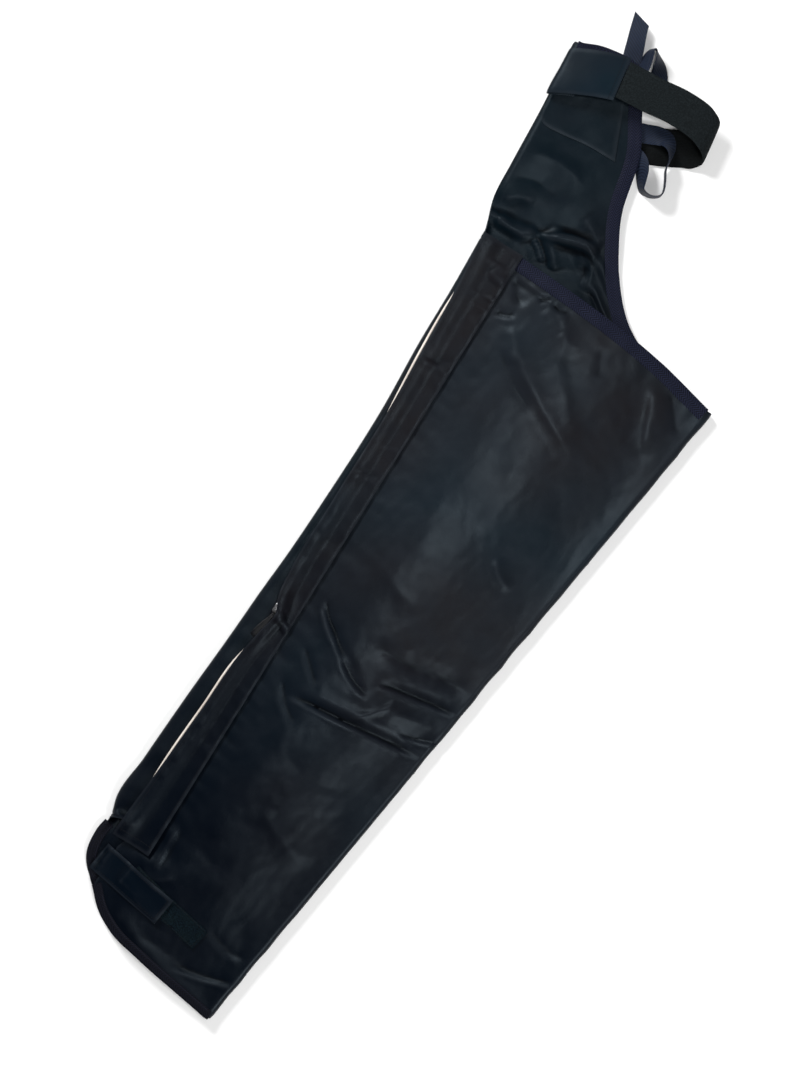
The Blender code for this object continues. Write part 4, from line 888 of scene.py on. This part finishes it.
def flap_grid(tree):
    """The flap, lying on the front panel at its seam and on the piping at its free edge."""
    rows = np.linspace(FLAP_END, LEG_LENGTH, FLAP_ROWS)
    shares = np.linspace(1.0, 0.0, FLAP_COLUMNS)
    plan = np.array([[(flap_edge(y) * share, y, 0.0) for share in shares] for y in rows])
    lift = REST_GAP + FLAP_CLOTH / 2 + (PIPING + GAP) * smooth((shares - FLAP_STEP[0]) / FLAP_STEP[1])
    grid = lay(plan, tree, lift[None, :], *FLAP_LAY)
    x, y = grid[..., 0], grid[..., 1]
    ends = smooth((y - FLAP_END) / FLAP_ENDS) * smooth((LEG_LENGTH - y) / FLAP_ENDS)
    relief = crease_relief(FLAP_CREASES, x, y) + FLAP_SLACK * slack(x, y, FLAP_SEED)
    relief += puckers(x, y, *FLAP_SEAM_PUCKERS)
    relief += puckers(x - x[:, :1] - 0.006, y, *FLAP_EDGE_PUCKERS)
    grid[..., 2] += np.maximum(relief, FLAP_SINK) * ends * smooth((shares[None, :] + 0.10) * 4)
    return grid


def make_piping(flap):
    """The cord along the flap's edge, tucked under it for part of the way."""
    edges = flap[PIPING_ROWS, 0]
    out = curve_through(
        column_of(PIPING_TUCKS, "along"), column_of(PIPING_TUCKS, "out"), edges[:, 1] / LEG_LENGTH
    )
    turns = np.arange(PIPING_SIDES) * 2 * math.pi / PIPING_SIDES
    rings = []
    for edge, x in zip(edges, flap_edge(edges[:, 1]) - (out - 0.5) * PIPING):
        z = edge[2] - FLAP_CLOTH / 2 * ROUND_EDGE[0] - GAP - PIPING / 2
        centre = np.array([x, edge[1], max(z, zip_height() + CLOTH / 2 + PIPING / 2)])
        rings.append([centre + np.array([math.cos(t), 0, math.sin(t)]) * PIPING / 2 for t in turns])
    return swept("piping_cord", rings, np.arange(PIPING_SIDES + 0.0) * math.pi * PIPING / PIPING_SIDES)


def make_zip():
    """Two rows of interlocked coil, as one ribbed bar."""
    rows = np.arange(ZIP_CHAIN_FROM * ZIP_END, LEG_LENGTH - ZIP_TOP_INSET, ZIP_PITCH / 2)
    half, z = ZIP_WIDTH / 2, zip_height()
    rings = []
    for index, (x, y) in enumerate(zip(zip_middle(rows), rows)):
        grow = 1.0 if index % 2 else 0.62
        wide = half * (0.85 + 0.15 * grow)
        rings.append([(x + a * wide, y, z + (b + c * grow) * ZIP_THICKNESS) for a, b, c in ZIP_OUTLINE])
    return swept("zip_coil", rings, np.arange(10.0) * half / 3)


def rounded_plate(name, outline, middle, ahead, height, bulge):
    """A plate with soft edges: outline is (along, half width) in metres from its middle along ahead."""
    ahead = np.array(ahead)
    side = np.array([-ahead[1], ahead[0], 0.0])
    rows = []
    for along, half in outline:
        row = [np.array(middle) + ahead * along + side * half * a for a in PLATE_ACROSS]
        for point, a in zip(row, PLATE_ACROSS):
            point[2] += bulge * (1 - a * a)
        rows.append(row)
    return cloth(name, np.array(rows), height)


def make_slider():
    width, length, height = SLIDER_SIZE
    x, z = float(zip_middle(SLIDER_AT)), zip_height() + CLOTH / 2 + REST_GAP + height / 2
    outline = [(a * length / 2, b * width / 2) for a, b in SLIDER]
    return rounded_plate("zip_slider_body", outline, (x, SLIDER_AT, z), (0, 1, 0), height, SLIDER_BULGE)


def make_puller():
    swing = math.radians(PULLER_SWING)
    ahead = np.array([-math.sin(swing), -math.cos(swing), 0.0])
    y = SLIDER_AT - SLIDER_SIZE[1] / 2 - REST_GAP - PULLER_WIDTH / 4
    start = (float(zip_middle(SLIDER_AT)), y, zip_height() + CLOTH / 2 + REST_GAP + PULLER_THICKNESS / 2)
    at = np.linspace(0, 1, 22)
    half = curve_through(column_of(PULLER, "along"), column_of(PULLER, "half"), at)
    outline = [(a * PULLER_LENGTH, h * PULLER_WIDTH / 2) for a, h in zip(at, half)]
    return rounded_plate("puller_tab", outline, start, ahead, PULLER_THICKNESS, PULLER_BULGE)


# Straps and bands


def strap_run(points, unit):
    """A strap's table, in metres and degrees, read at each row of its grid; unit is its height's unit."""
    values = np.array([(p.right, p.up, *p[2:]) for p in points], float)
    values[:, 0] *= HIP_RISE
    values[:, 1] = LEG_LENGTH + values[:, 1] * HIP_RISE
    values[:, 2] *= unit
    places = np.linspace(0, len(points) - 1, (len(points) - 1) * STRAP_STEPS + 1)
    return curve_through(np.arange(len(points)), values, places)


def band_grid(points, width, sag, seed):
    """Middle of the waist band along its table of points; sag dents it between its edges."""
    read = strap_run(points, BAND_HEIGHT)
    turn = np.radians(read[:, 3])
    across = np.stack([-np.sin(turn), np.cos(turn), np.zeros(len(turn))], axis=1)
    half = across * read[:, 4:5] * width / 2
    shares = np.linspace(-1, 1, BAND_COLUMNS)
    grid = read[:, None, :3] + half[:, None, :] * shares[None, :, None]
    ends = smooth(np.minimum(np.arange(len(read)), np.arange(len(read))[::-1]) / 8)[:, None]
    dent = sag * ripple(grid[..., 0] + grid[..., 2], grid[..., 1], *DENT_SIZE, seed) * ends
    return grid + grid_normals(grid) * dent[..., None]


def webbing_grid(points, cut=0.0):
    """Middle of a strap that turns on its edge; cut slants its last end."""
    read = strap_run(points, WEBBING_WIDTH)
    ahead = np.gradient(read[:, :2], axis=0)
    ahead /= np.linalg.norm(ahead, axis=1, keepdims=True)
    tilt = np.radians(read[:, 3])
    left = np.stack([-ahead[:, 1] * np.cos(tilt), ahead[:, 0] * np.cos(tilt), np.sin(tilt)], axis=1)
    half = left * WEBBING_WIDTH / 2
    shares = np.linspace(-1, 1, WEBBING_COLUMNS)
    grid = read[:, None, :3] + half[:, None, :] * shares[None, :, None]
    slant = np.array([*ahead[-1], 0.0]) * cut * WEBBING_WIDTH
    late = smooth((np.arange(len(grid)) - len(grid) + STRAP_STEPS) / STRAP_STEPS)
    return grid + late[:, None, None] * shares[None, :, None] * slant[None, None, :]


def facing_grid(tree):
    """The second layer on the hip, between the lower and upper line of its table."""
    unit = np.array([INNER_THIGH, HIP_RISE, 0.0])
    top_of_leg = np.array([0.0, LEG_LENGTH, 0.0])
    low = top_of_leg + unit * [(c.low_across, c.low_up, 0) for c in FACING]
    high = top_of_leg + unit * [(c.high_across, c.high_up, 0) for c in FACING]
    at = np.linspace(0, len(FACING) - 1, FACING_COLUMNS)
    low, high = (curve_through(np.arange(len(FACING)), line, at) for line in (low, high))
    plan = np.array([low + (high - low) * share for share in np.linspace(0.0, 1.0, FACING_ROWS)])
    return lay(plan, tree, REST_GAP + FACING_CLOTH / 2, 0.001, 1)


def laid_strip(end, turn, length, width, tree, lift, reach, ease, curl):
    """A strip that ends at end and runs back from it towards the outer fold; its corners curl up."""
    angle = math.radians(turn)
    back = -np.array([math.cos(angle), math.sin(angle), 0.0])
    side = np.array([-math.sin(angle), math.cos(angle), 0.0])
    end = np.array([*end, 0.0])
    runs = [back * length * (1 - i / STRIP_ROWS) for i in range(STRIP_ROWS + 1)]
    sides = [side * width * (j / STRIP_COLUMNS - 0.5) for j in range(STRIP_COLUMNS + 1)]
    grid = lay(np.array([[end + run + aside for run in runs] for aside in sides]), tree, lift, reach, ease)
    across = np.abs(np.linspace(-1, 1, STRIP_COLUMNS + 1))[:, None]
    ahead = np.linspace(0, 1, STRIP_ROWS + 1)[None, :]
    grid[..., 2] += curl * (smooth((ahead - CURL_FROM) * 5) * across**2 + SIDE_CURL * across**4)
    return grid


# Stitches


def stitches(name, line, tree):
    """Thread along a line of plan points, one short bar for each stitch, on the highest surface below."""
    line = np.asarray(line, float)[:, :2]
    places = np.concatenate([[0], np.cumsum(np.hypot(*np.diff(line, axis=0).T))])
    count = max(2, round(places[-1] / STITCH_PITCH))
    points, faces = [], []
    for k in range(count):
        span = (np.array([0.12, 0.5, 0.88]) + k) / count * places[-1]
        spots = np.stack([np.interp(span, places, line[:, axis]) for axis in (0, 1)], axis=1)
        heights = [top_at(tree, *spot) for spot in spots]
        ahead = spots[-1] - spots[0]
        ahead /= np.linalg.norm(ahead) + 1e-12
        side = np.array([-ahead[1], ahead[0], 0.0])
        first = len(points)
        for spot, height, lift in zip(spots, heights, (-0.5, 0.75, -0.5)):
            centre = np.array([*spot, height + THREAD * lift])
            for turn in np.arange(4) * math.pi / 2 + math.pi / 4:
                points.append(centre + (side * math.cos(turn) + np.array([0, 0, math.sin(turn)])) * THREAD)
        for ring in (first, first + 4):
            for j in range(4):
                a, b = ring + j, ring + (j + 1) % 4
                faces.append((a, b, b + 4, a + 4))
        faces.append((first + 3, first + 2, first + 1, first))
        faces.append((first + 8, first + 9, first + 10, first + 11))
    return add_object(name, points, faces, [[(0.0, 0.0)] * 4] * len(faces))


def line_beside(grid, cells, left, inset):
    """Plan points at a distance from a sheet's edge."""
    points, _ = edge_path(grid, cells, BINDING_STITCH_STEP)
    return (points + inward_of(points, left) * inset)[:, :2]


def strip_border(grid, inset):
    """Plan points round a grid, that many rows and columns in from its border."""
    high, far = len(grid) - 1 - inset, grid.shape[1] - 1 - inset
    walk = [(inset, j) for j in range(inset, far + 1)] + [(i, far) for i in range(inset + 1, high + 1)]
    walk += [(high, j) for j in range(far - 1, inset - 1, -1)]
    walk += [(i, inset) for i in range(high - 1, inset - 1, -1)]
    return np.array([grid[i, j, :2] for i, j in walk])


# Looks


class Graph:
    """A material whose nodes are made one call at a time."""

    def __init__(self, name):
        self.material = bpy.data.materials.new(name)
        self.material.use_nodes = True
        self.tree = self.material.node_tree
        self.shader = self.tree.nodes["Principled BSDF"]

    def add(self, kind, *values, **settings):
        """A new node, with settings as its attributes; values go to its inputs in order."""
        made = self.tree.nodes.new("ShaderNode" + kind)
        for key, value in settings.items():
            setattr(made, key, value)
        for socket, value in zip(made.inputs, values):
            self.put(socket, value)
        return made

    def put(self, socket, value):
        if isinstance(value, bpy.types.NodeSocket):
            self.tree.links.new(value, socket)
        elif value is not None:
            socket.default_value = value

    def math(self, operation, *values):
        return self.add("Math", *values, operation=operation).outputs[0]

    def cut(self):
        """Metres along and across the cloth, from its own cut."""
        found = self.add("UVMap", uv_map="Cut")
        parts = self.add("SeparateXYZ", found.outputs[0])
        return parts.outputs[0], parts.outputs[1]

    def up_the_leg(self, low, high):
        """0 below y low, 1 above y high."""
        return self.ramp(self.add("SeparateXYZ", self.place()).outputs[1], low, high)

    def place(self):
        return self.add("TexCoord").outputs["Object"]

    def noise(self, scale, detail=2.0, rough=0.5):
        made = self.add("TexNoise")
        self.put(made.inputs["Vector"], self.place())
        made.inputs["Scale"].default_value = scale
        made.inputs["Detail"].default_value = detail
        made.inputs["Roughness"].default_value = rough
        return made.outputs[0]

    def patches(self, scale, low=0.35, high=0.70, detail=3.0, rough=0.5):
        """Noise, made 0 to 1 between low and high."""
        return self.ramp(self.noise(scale, detail, rough), low, high)

    def wave(self, place, pitch):
        """A sine along place, from 0 to 1, that repeats every pitch metres."""
        turned = self.math("SINE", self.math("MULTIPLY", place, 2 * math.pi / pitch))
        return self.math("MULTIPLY_ADD", turned, 0.5, 0.5)

    def mix(self, share, first, second):
        made = self.add("Mix", data_type="RGBA")
        self.put(made.inputs[0], share)
        self.put(made.inputs[6], (*first, 1.0) if isinstance(first, tuple) else first)
        self.put(made.inputs[7], (*second, 1.0) if isinstance(second, tuple) else second)
        return made.outputs[2]

    def tone(self, share, most, first, second):
        """first, with up to most of second where share is 1."""
        return self.mix(self.math("MULTIPLY", share, most), first, second)

    def dye(self, pattern, dark, light, worn, most, soiled, tint=1.0):
        """dark to light by the pattern, with up to most of soiled where worn is 1; tint lightens all."""
        dark, light, soiled = (tuple(part * tint for part in color) for color in (dark, light, soiled))
        return self.tone(worn, most, self.mix(pattern, dark, light), soiled)

    def ramp(self, value, low, high):
        """value from low to high made 0 to 1."""
        made = self.add("MapRange")
        for socket, given in zip(made.inputs, (value, low, high, 0.0, 1.0)):
            self.put(socket, given)
        return made.outputs[0]

    def crease_shade_and_ridge_wear(self, color):
        """The color, with painted shade that darkens the bottoms of creases, and a little worn on their
        ridges.
        """
        bend = self.add("NewGeometry").outputs["Pointiness"]
        # painted shade: the bottoms of creases turn near black
        color = self.mix(self.ramp(bend, 0.497, 0.470), color, (0.0008, 0.0010, 0.0016))
        return self.tone(self.ramp(bend, 0.504, 0.535), 0.30, color, (0.0170, 0.0200, 0.0250))

    def bump(self, height, distance, strength=1.0, over=None):
        made = self.add("Bump")
        made.inputs["Strength"].default_value = strength
        made.inputs["Distance"].default_value = distance
        self.put(made.inputs["Height"], height)
        if over is not None:
            self.put(made.inputs["Normal"], over)
        return made.outputs[0]

    def finish(self, color, roughness, normal=None, **fixed):
        self.put(self.shader.inputs["Base Color"], color)
        self.put(self.shader.inputs["Roughness"], roughness)
        if normal is not None:
            self.put(self.shader.inputs["Normal"], normal)
        for name, value in fixed.items():
            self.shader.inputs[name.replace("_", " ")].default_value = value
        return self.material


# teal and brown: painted reflections in broad patches; navy: the cloth's own colour
REFLECTION_TEAL, REFLECTION_BROWN, NAVY = (0.0020, 0.0058, 0.0092), (0.0062, 0.0050, 0.0056), (0.0022, 0.0036, 0.0072)


def shell_look(name="shell_cloth", tint=1.0, turn=0.0, gloss=0.10, painted_thigh_light=0.17):
    """Close-woven coated cloth: dark navy with broad teal and brown patches painted as reflections, and a
    satin sheen.

    tint lightens it, turn moves its painted reflection patches from teal (below 0) to brown (above 0),
    gloss is its reflection and the last argument how much painted light makes it paler up the leg; down the
    leg it has painted shade.
    """
    made = Graph(name)
    along, across = made.cut()
    reflection_patches = made.patches(5.5, 0.38 - turn, 0.64 - turn, 2.0)
    fine = made.patches(38.0)
    color = made.dye(reflection_patches, REFLECTION_TEAL, REFLECTION_BROWN, fine, 0.35, NAVY, tint)
    # painted shade: down the leg the cloth is made nearly black; painted light: up the leg it is made paler
    clean_and_shaded = made.mix(0.85, color, (0.0003, 0.0009, 0.0030))
    painted_light_upper_leg = made.mix(painted_thigh_light, color, (0.0200, 0.0215, 0.0270))
    color = made.crease_shade_and_ridge_wear(made.mix(made.up_the_leg(-0.38, 0.02), clean_and_shaded, painted_light_upper_leg))
    weave = made.math("MULTIPLY", made.wave(along, 0.0007), made.wave(across, 0.0007))
    grain = made.bump(weave, 0.00005, 0.5)
    dents = made.bump(made.noise(210.0, 3.0, 0.6), 0.00025, 0.35, grain)
    rough = made.math("MULTIPLY_ADD", fine, 0.10, 0.32)
    return made.finish(
        color, rough, dents, Sheen_Weight=0.02, Sheen_Roughness=0.35, Sheen_Tint=(0.35, 0.60, 0.85, 1.0),
        Specular_IOR_Level=gloss, Specular_Tint=(0.72, 0.88, 1.0, 1.0),
    )


def binding_look(name="binding_tape", tint=1.0):
    """Herringbone tape: slanted ribs that turn at the middle of each band."""
    made = Graph(name)
    along, across = made.cut()
    zigzag = made.math("PINGPONG", across, 0.0042)
    ribs = made.wave(made.math("ADD", along, made.math("MULTIPLY", zigzag, 1.3)), 0.0030)
    sharp = made.ramp(ribs, 0.25, 0.75)
    worn = made.patches(60.0)
    dark, light, soiled = (0.0008, 0.0012, 0.0036), (0.0110, 0.0135, 0.0310), (0.0040, 0.0048, 0.0110)
    color = made.dye(sharp, dark, light, worn, 0.30, soiled, tint)
    normal = made.bump(sharp, 0.00022, 0.8)
    return made.finish(color, made.math("MULTIPLY_ADD", worn, 0.12, 0.62), normal, Specular_IOR_Level=0.08)


def webbing_look():
    """Twill webbing with fine dots."""
    made = Graph("webbing_twill")
    along, across = made.cut()
    ribs = made.wave(made.math("ADD", along, across), 0.0017)
    dots = made.math("MULTIPLY", ribs, made.wave(made.math("SUBTRACT", along, across), 0.0034))
    worn = made.patches(70.0)
    dark, light, soiled = (0.0014, 0.0036, 0.0110), (0.0090, 0.0200, 0.0480), (0.0040, 0.0084, 0.0210)
    color = made.dye(dots, dark, light, worn, 0.30, soiled)
    rough = made.math("MULTIPLY_ADD", worn, 0.10, 0.58)
    normal = made.bump(dots, 0.00025, 0.9)
    return made.finish(color, rough, normal, Sheen_Weight=0.02, Specular_IOR_Level=0.18)


def elastic_look(name="elastic_weave", tint=1.0):
    """Woven elastic: fine ribs along it, crossed by a tighter weft."""
    made = Graph(name)
    along, across = made.cut()
    ribs = made.wave(across, 0.0016)
    weft = made.wave(along, 0.0009)
    knit = made.math("MULTIPLY_ADD", weft, 0.35, ribs)
    fleck = made.patches(620.0, 0.42, 0.62, rough=0.7)
    dark, light, soiled = (0.0026, 0.0042, 0.0050), (0.0088, 0.0122, 0.0140), (0.0045, 0.0065, 0.0070)
    color = made.dye(fleck, dark, light, ribs, 0.30, soiled, tint)
    return made.finish(color, 0.86, made.bump(knit, 0.00022, 0.8), Specular_IOR_Level=0.10)


def pile_look():
    """Hook-and-loop pile: a fuzzy dark teal mat."""
    made = Graph("pile_mat")
    fuzz = made.noise(900.0, 4.0, 0.7)
    dark, light, soiled = (0.0002, 0.0010, 0.0024), (0.0040, 0.0100, 0.0150), (0.0035, 0.0080, 0.0090)
    color = made.dye(made.ramp(fuzz, 0.42, 0.62), dark, light, made.patches(90.0), 0.40, soiled)
    return made.finish(color, 0.95, made.bump(fuzz, 0.0008, 1.0), Specular_IOR_Level=0.06)


def piping_look():
    made = Graph("piping_cord_cover")
    along, _ = made.cut()
    beads = made.noise(1400.0, 2.0)
    soiled = made.patches(30.0, 0.40, 0.75)
    color = made.mix(soiled, (0.66, 0.60, 0.54), (0.48, 0.42, 0.37))
    ribs = made.math("MULTIPLY_ADD", beads, 0.6, made.wave(along, 0.0016))
    return made.finish(color, 0.42, made.bump(ribs, 0.00010, 0.5))


def scuffed_look(name, scale, clean_and_shaded, worn, rough, scratch, **fixed):
    """A smooth part with scuffs; rough is what they add to its roughness and what it has without them."""
    made = Graph(name)
    scuffed = made.patches(scale, 0.40, 0.70)
    rough = made.math("MULTIPLY_ADD", scuffed, *rough)
    return made.finish(made.mix(scuffed, clean_and_shaded, worn), rough, made.bump(scuffed, *scratch), **fixed)


def zip_look():
    clean_and_shaded, worn = (0.0018, 0.0022, 0.0034), (0.0060, 0.0068, 0.0084)
    return scuffed_look(
        "zip_polymer", 260.0, clean_and_shaded, worn, (0.20, 0.32), (0.00004, 0.4), Specular_IOR_Level=0.12
    )


def slider_look():
    bare, black = (0.30, 0.30, 0.31), (0.05, 0.05, 0.055)
    return scuffed_look("zip_slider_metal", 300.0, bare, black, (0.25, 0.22), (0.00005, 0.5), Metallic=0.9)


def thread_look(name, dark, light):
    made = Graph(name)
    twist = made.patches(700.0, 0.35, 0.65, 2.0)
    normal = made.bump(twist, 0.00005, 0.5)
    return made.finish(made.mix(twist, dark, light), 0.75, normal, Specular_IOR_Level=0.10)


def floor_look():
    made = Graph("pale_floor")
    speck = made.patches(3.0, 0.30, 0.70)
    return made.finish(made.mix(speck, (0.86, 0.86, 0.86), (0.89, 0.89, 0.885)), 0.9)


# Floor, lights and camera


def make_stage():
    mesh = bpy.data.meshes.new("floor")
    sides = ((-1, -1), (1, -1), (1, 1), (-1, 1))
    mesh.from_pydata([(x * FLOOR_REACH, y * FLOOR_REACH, FLOOR_Z) for x, y in sides], [], [(0, 1, 2, 3)])
    floor = bpy.data.objects.new("floor", mesh)
    bpy.context.scene.collection.objects.link(floor)
    floor.data.materials.append(floor_look())
    world = bpy.data.worlds.new("studio")
    world.use_nodes = True
    world.node_tree.nodes["Background"].inputs[0].default_value = (1.0, 1.0, 1.0, 1.0)
    world.node_tree.nodes["Background"].inputs[1].default_value = WORLD_LIGHT
    bpy.context.scene.world = world
    for name, place, size, power in LIGHTS:
        light = bpy.data.lights.new(name, "AREA")
        light.shape = "DISK"
        light.size = size
        light.energy = power
        lamp = bpy.data.objects.new(name, light)
        lamp.location = place
        lamp.rotation_mode = "QUATERNION"
        lamp.rotation_quaternion = (-Vector(place)).to_track_quat("-Z", "Y")
        bpy.context.scene.collection.objects.link(lamp)
    bpy.context.scene.view_settings.view_transform = "Standard"


def make_camera():
    """Straight above the leg, rolled so that the waist is at the upper right, as in the photo."""
    camera = bpy.data.cameras.new("camera")
    camera.sensor_width = 36.0
    camera.lens = camera.sensor_width * CAMERA_HEIGHT / FRAME_HEIGHT
    camera.clip_end = 20.0
    shown = bpy.data.objects.new("camera", camera)
    shown.location = (*CAMERA_AIM, CAMERA_HEIGHT)
    shown.rotation_euler = (0.0, 0.0, math.radians(CAMERA_ROLL))
    bpy.context.scene.collection.objects.link(shown)
    bpy.context.scene.camera = shown


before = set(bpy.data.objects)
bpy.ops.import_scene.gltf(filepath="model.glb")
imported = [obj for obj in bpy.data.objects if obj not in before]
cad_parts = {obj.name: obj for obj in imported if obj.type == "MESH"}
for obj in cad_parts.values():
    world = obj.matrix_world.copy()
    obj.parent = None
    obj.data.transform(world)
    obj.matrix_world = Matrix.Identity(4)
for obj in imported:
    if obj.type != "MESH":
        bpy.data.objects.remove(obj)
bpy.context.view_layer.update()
make_stage()
make_camera()

# The leg
front, back = front_grid(), back_grid()
front_cloth = cloth("leg_front_cloth", front, CLOTH)
back_cloth = cloth("leg_back_cloth", back, CLOTH)
coil, slider, puller = make_zip(), make_slider(), make_puller()
flap = flap_grid(surface_of(front_cloth, back_cloth, coil, slider, puller))
flap_cloth = cloth("flap_cloth", flap, FLAP_CLOTH)
piping = make_piping(flap)

# Bindings: each edge is a walk through cells of its sheet's grid
wrap_steps = FOLD_STEPS + FLAT_STEPS
corner = wrap_steps + round(BACK_COLUMNS * BACK_TOP[WAIST_CORNER].column)
top_cells = [(len(front) - 1, j) for j in range(round(FRONT_BINDING_FROM * FRONT_COLUMNS), FRONT_COLUMNS)]
hem_cells = [(0, j) for j in range(FRONT_COLUMNS + FOLD_STEPS // 5)]
hip_cells = [(len(back) - 1, j) for j in range(corner, back.shape[1] - 1)]
waist_cells = [(len(back) - 1, j) for j in range(wrap_steps - FOLD_STEPS // 2, corner)]
rear_cells = [(i, 0) for i in range(round(BOUND_WRAP_ROWS / LAST_LEG_ROW * LEG_ROWS), 0, -1)]
rear_cells += [(0, j) for j in range(wrap_steps + 2)]
bound = {
    "front_top": (front_cloth, front, top_cells, BINDING, False),
    "hem": (front_cloth, front, hem_cells, CORNER_BINDING, True),
    "hip": (back_cloth, back, hip_cells, BINDING, False),
    "waist_edge": (back_cloth, back, waist_cells, WAIST_BINDING, False),
    "rear_corner": (back_cloth, back, rear_cells, CORNER_BINDING, True),
}
tapes = {name: binding(f"{name}_tape", *edge) for name, edge in bound.items()}

# Waist
facing_run = facing_grid(surface_of(back_cloth))
tab_run = band_grid(TAB_RUN, TAB_BAND_WIDTH, *BAND_DENT)
elastic_run = band_grid(ELASTIC_RUN, ELASTIC_WIDTH, *ELASTIC_DENT)
lower_run, upper_run = webbing_grid(LOWER_LOOP), webbing_grid(UPPER_LOOP)
loose_run = webbing_grid(LOOSE_END, WEBBING_CUT)
facing = cloth("facing_cloth", facing_run, FACING_CLOTH)
waist_tab = cloth("waist_tab_cloth", tab_run, BAND_CLOTH)
elastic = cloth("elastic_band", elastic_run, ELASTIC)
lower_loop = cloth("lower_loop_strap", lower_run, WEBBING)
upper_loop = cloth("upper_loop_strap", upper_run, WEBBING)
loose_end = cloth("loose_end_strap", loose_run, WEBBING)

# Hem closure
patch_run = laid_strip(
    PATCH_AT, PATCH_TURN, PATCH_LENGTH, PATCH_WIDTH, surface_of(front_cloth),
    REST_GAP + PATCH_CLOTH / 2, *PATCH_LAY,
)
patch = cloth("pile_patch", patch_run, PATCH_CLOTH)
hem_ground = surface_of(front_cloth, back_cloth, patch, tapes["rear_corner"], tapes["hem"])
hem_run = laid_strip(
    TAB_AT, TAB_TURN, TAB_LENGTH, TAB_WIDTH, hem_ground, REST_GAP + TAB_CLOTH / 2, *TAB_LAY,
)
hem_tab = cloth("hem_tab_cloth", hem_run, TAB_CLOTH)

# Stitches, on the pieces as they lie
thread = thread_look("thread_navy", (0.004, 0.005, 0.011), (0.010, 0.012, 0.022))
dark_thread = thread_look("thread_black", (0.002, 0.0025, 0.004), (0.006, 0.007, 0.010))
leg_top = surface_of(front_cloth, back_cloth, flap_cloth, facing)
tape_top = surface_of(*tapes.values())
lines = [
    ("flap_free_edge", flap[3:-3, 3, :2], leg_top, dark_thread, "shell"),
    ("flap_seam", flap[3:-3, -3, :2], leg_top, dark_thread, "shell"),
    ("flap_top", flap[-4, 2:-2, :2], leg_top, dark_thread, "shell"),
    ("flap_foot", flap[4, 2:-2, :2], leg_top, dark_thread, "shell"),
]
for name in ("front_top", "hip", "waist_edge", "rear_corner", "hem"):
    _, grid, cells, width, left = bound[name]
    inset = width - (CORNER_STITCH_INSET if width == CORNER_BINDING else STITCH_INSET)
    cells = cells[6:-4] if name == "hem" else cells
    lines.append((name, line_beside(grid, cells, left, inset), tape_top, thread, "binding"))
lines += [
    ("hem_tab", strip_border(hem_run, 2), surface_of(hem_tab), dark_thread, "shell"),
    ("pile_patch", strip_border(patch_run, 1), surface_of(patch), dark_thread, "hook_loop"),
    ("waist_tab", tab_run[-4, :, :2], surface_of(waist_tab, elastic), dark_thread, "shell"),
]
sewn = {name: stitches(f"{name}_stitches", line, ground) for name, line, ground, _, _ in lines}

# The pieces, their looks and what they stand for
# painted shade: a darker copy of the shell, its painted reflections turned teal, for the back panel, the
# hip and the facing under the waist tab
shaded_back_shell = shell_look("shaded_back_shell", 0.75, -0.10, 0.07, 0.03)
tape, dark_tape = binding_look(), binding_look("hem_tape_weave", 0.32)
zip_finish, webbing = zip_look(), webbing_look()
for piece, look, slot, node in (
    (front_cloth, shell_look(), "shell", "leg_front_panel"),
    (back_cloth, shaded_back_shell, "shell", "leg_back_panel"),
    # painted shade: a darker copy of the shell, its painted reflections turned brown, for the flap
    (flap_cloth, shell_look("shaded_flap_shell", 0.95, 0.12, 0.07, 0.08), "shell", "storm_flap"),
    (piping, piping_look(), "piping", "reflective_piping"),
    (coil, zip_finish, "zip", "zip_chain"),
    (slider, slider_look(), "zip", "zip_slider"),
    (puller, zip_finish, "zip", "zip_puller"),
    (tapes["front_top"], tape, "binding", "front_top_binding"),
    (tapes["hem"], dark_tape, "binding", "hem_binding"),
    (tapes["hip"], tape, "binding", "hip_binding"),
    (tapes["waist_edge"], tape, "binding", "waist_edge_binding"),
    (tapes["rear_corner"], dark_tape, "binding", "rear_corner_binding"),
    (facing, shaded_back_shell, "shell", "waist_facing"),
    (waist_tab, shell_look("tab_shell", 1.4, -0.10, 0.05, 0.04), "shell", "waist_tab"),
    (elastic, elastic_look(), "elastic", "waist_elastic"),
    (lower_loop, webbing, "webbing", "webbing_lower_loop"),
    (upper_loop, webbing, "webbing", "webbing_upper_loop"),
    (loose_end, webbing, "webbing", "webbing_end"),
    (patch, pile_look(), "hook_loop", "hem_patch"),
    (hem_tab, shell_look("hem_shell", 2.2, -0.20, 0.07), "shell", "hem_tab"),
):
    settle(piece, look, slot, node)
# painted shade: the band's other face is a much darker copy of the elastic, for the shade inside its loop
face_inside(elastic, elastic_look("shaded_elastic_inside", 0.25))
for name, _, _, look, slot in lines:
    settle(sewn[name], look, slot)
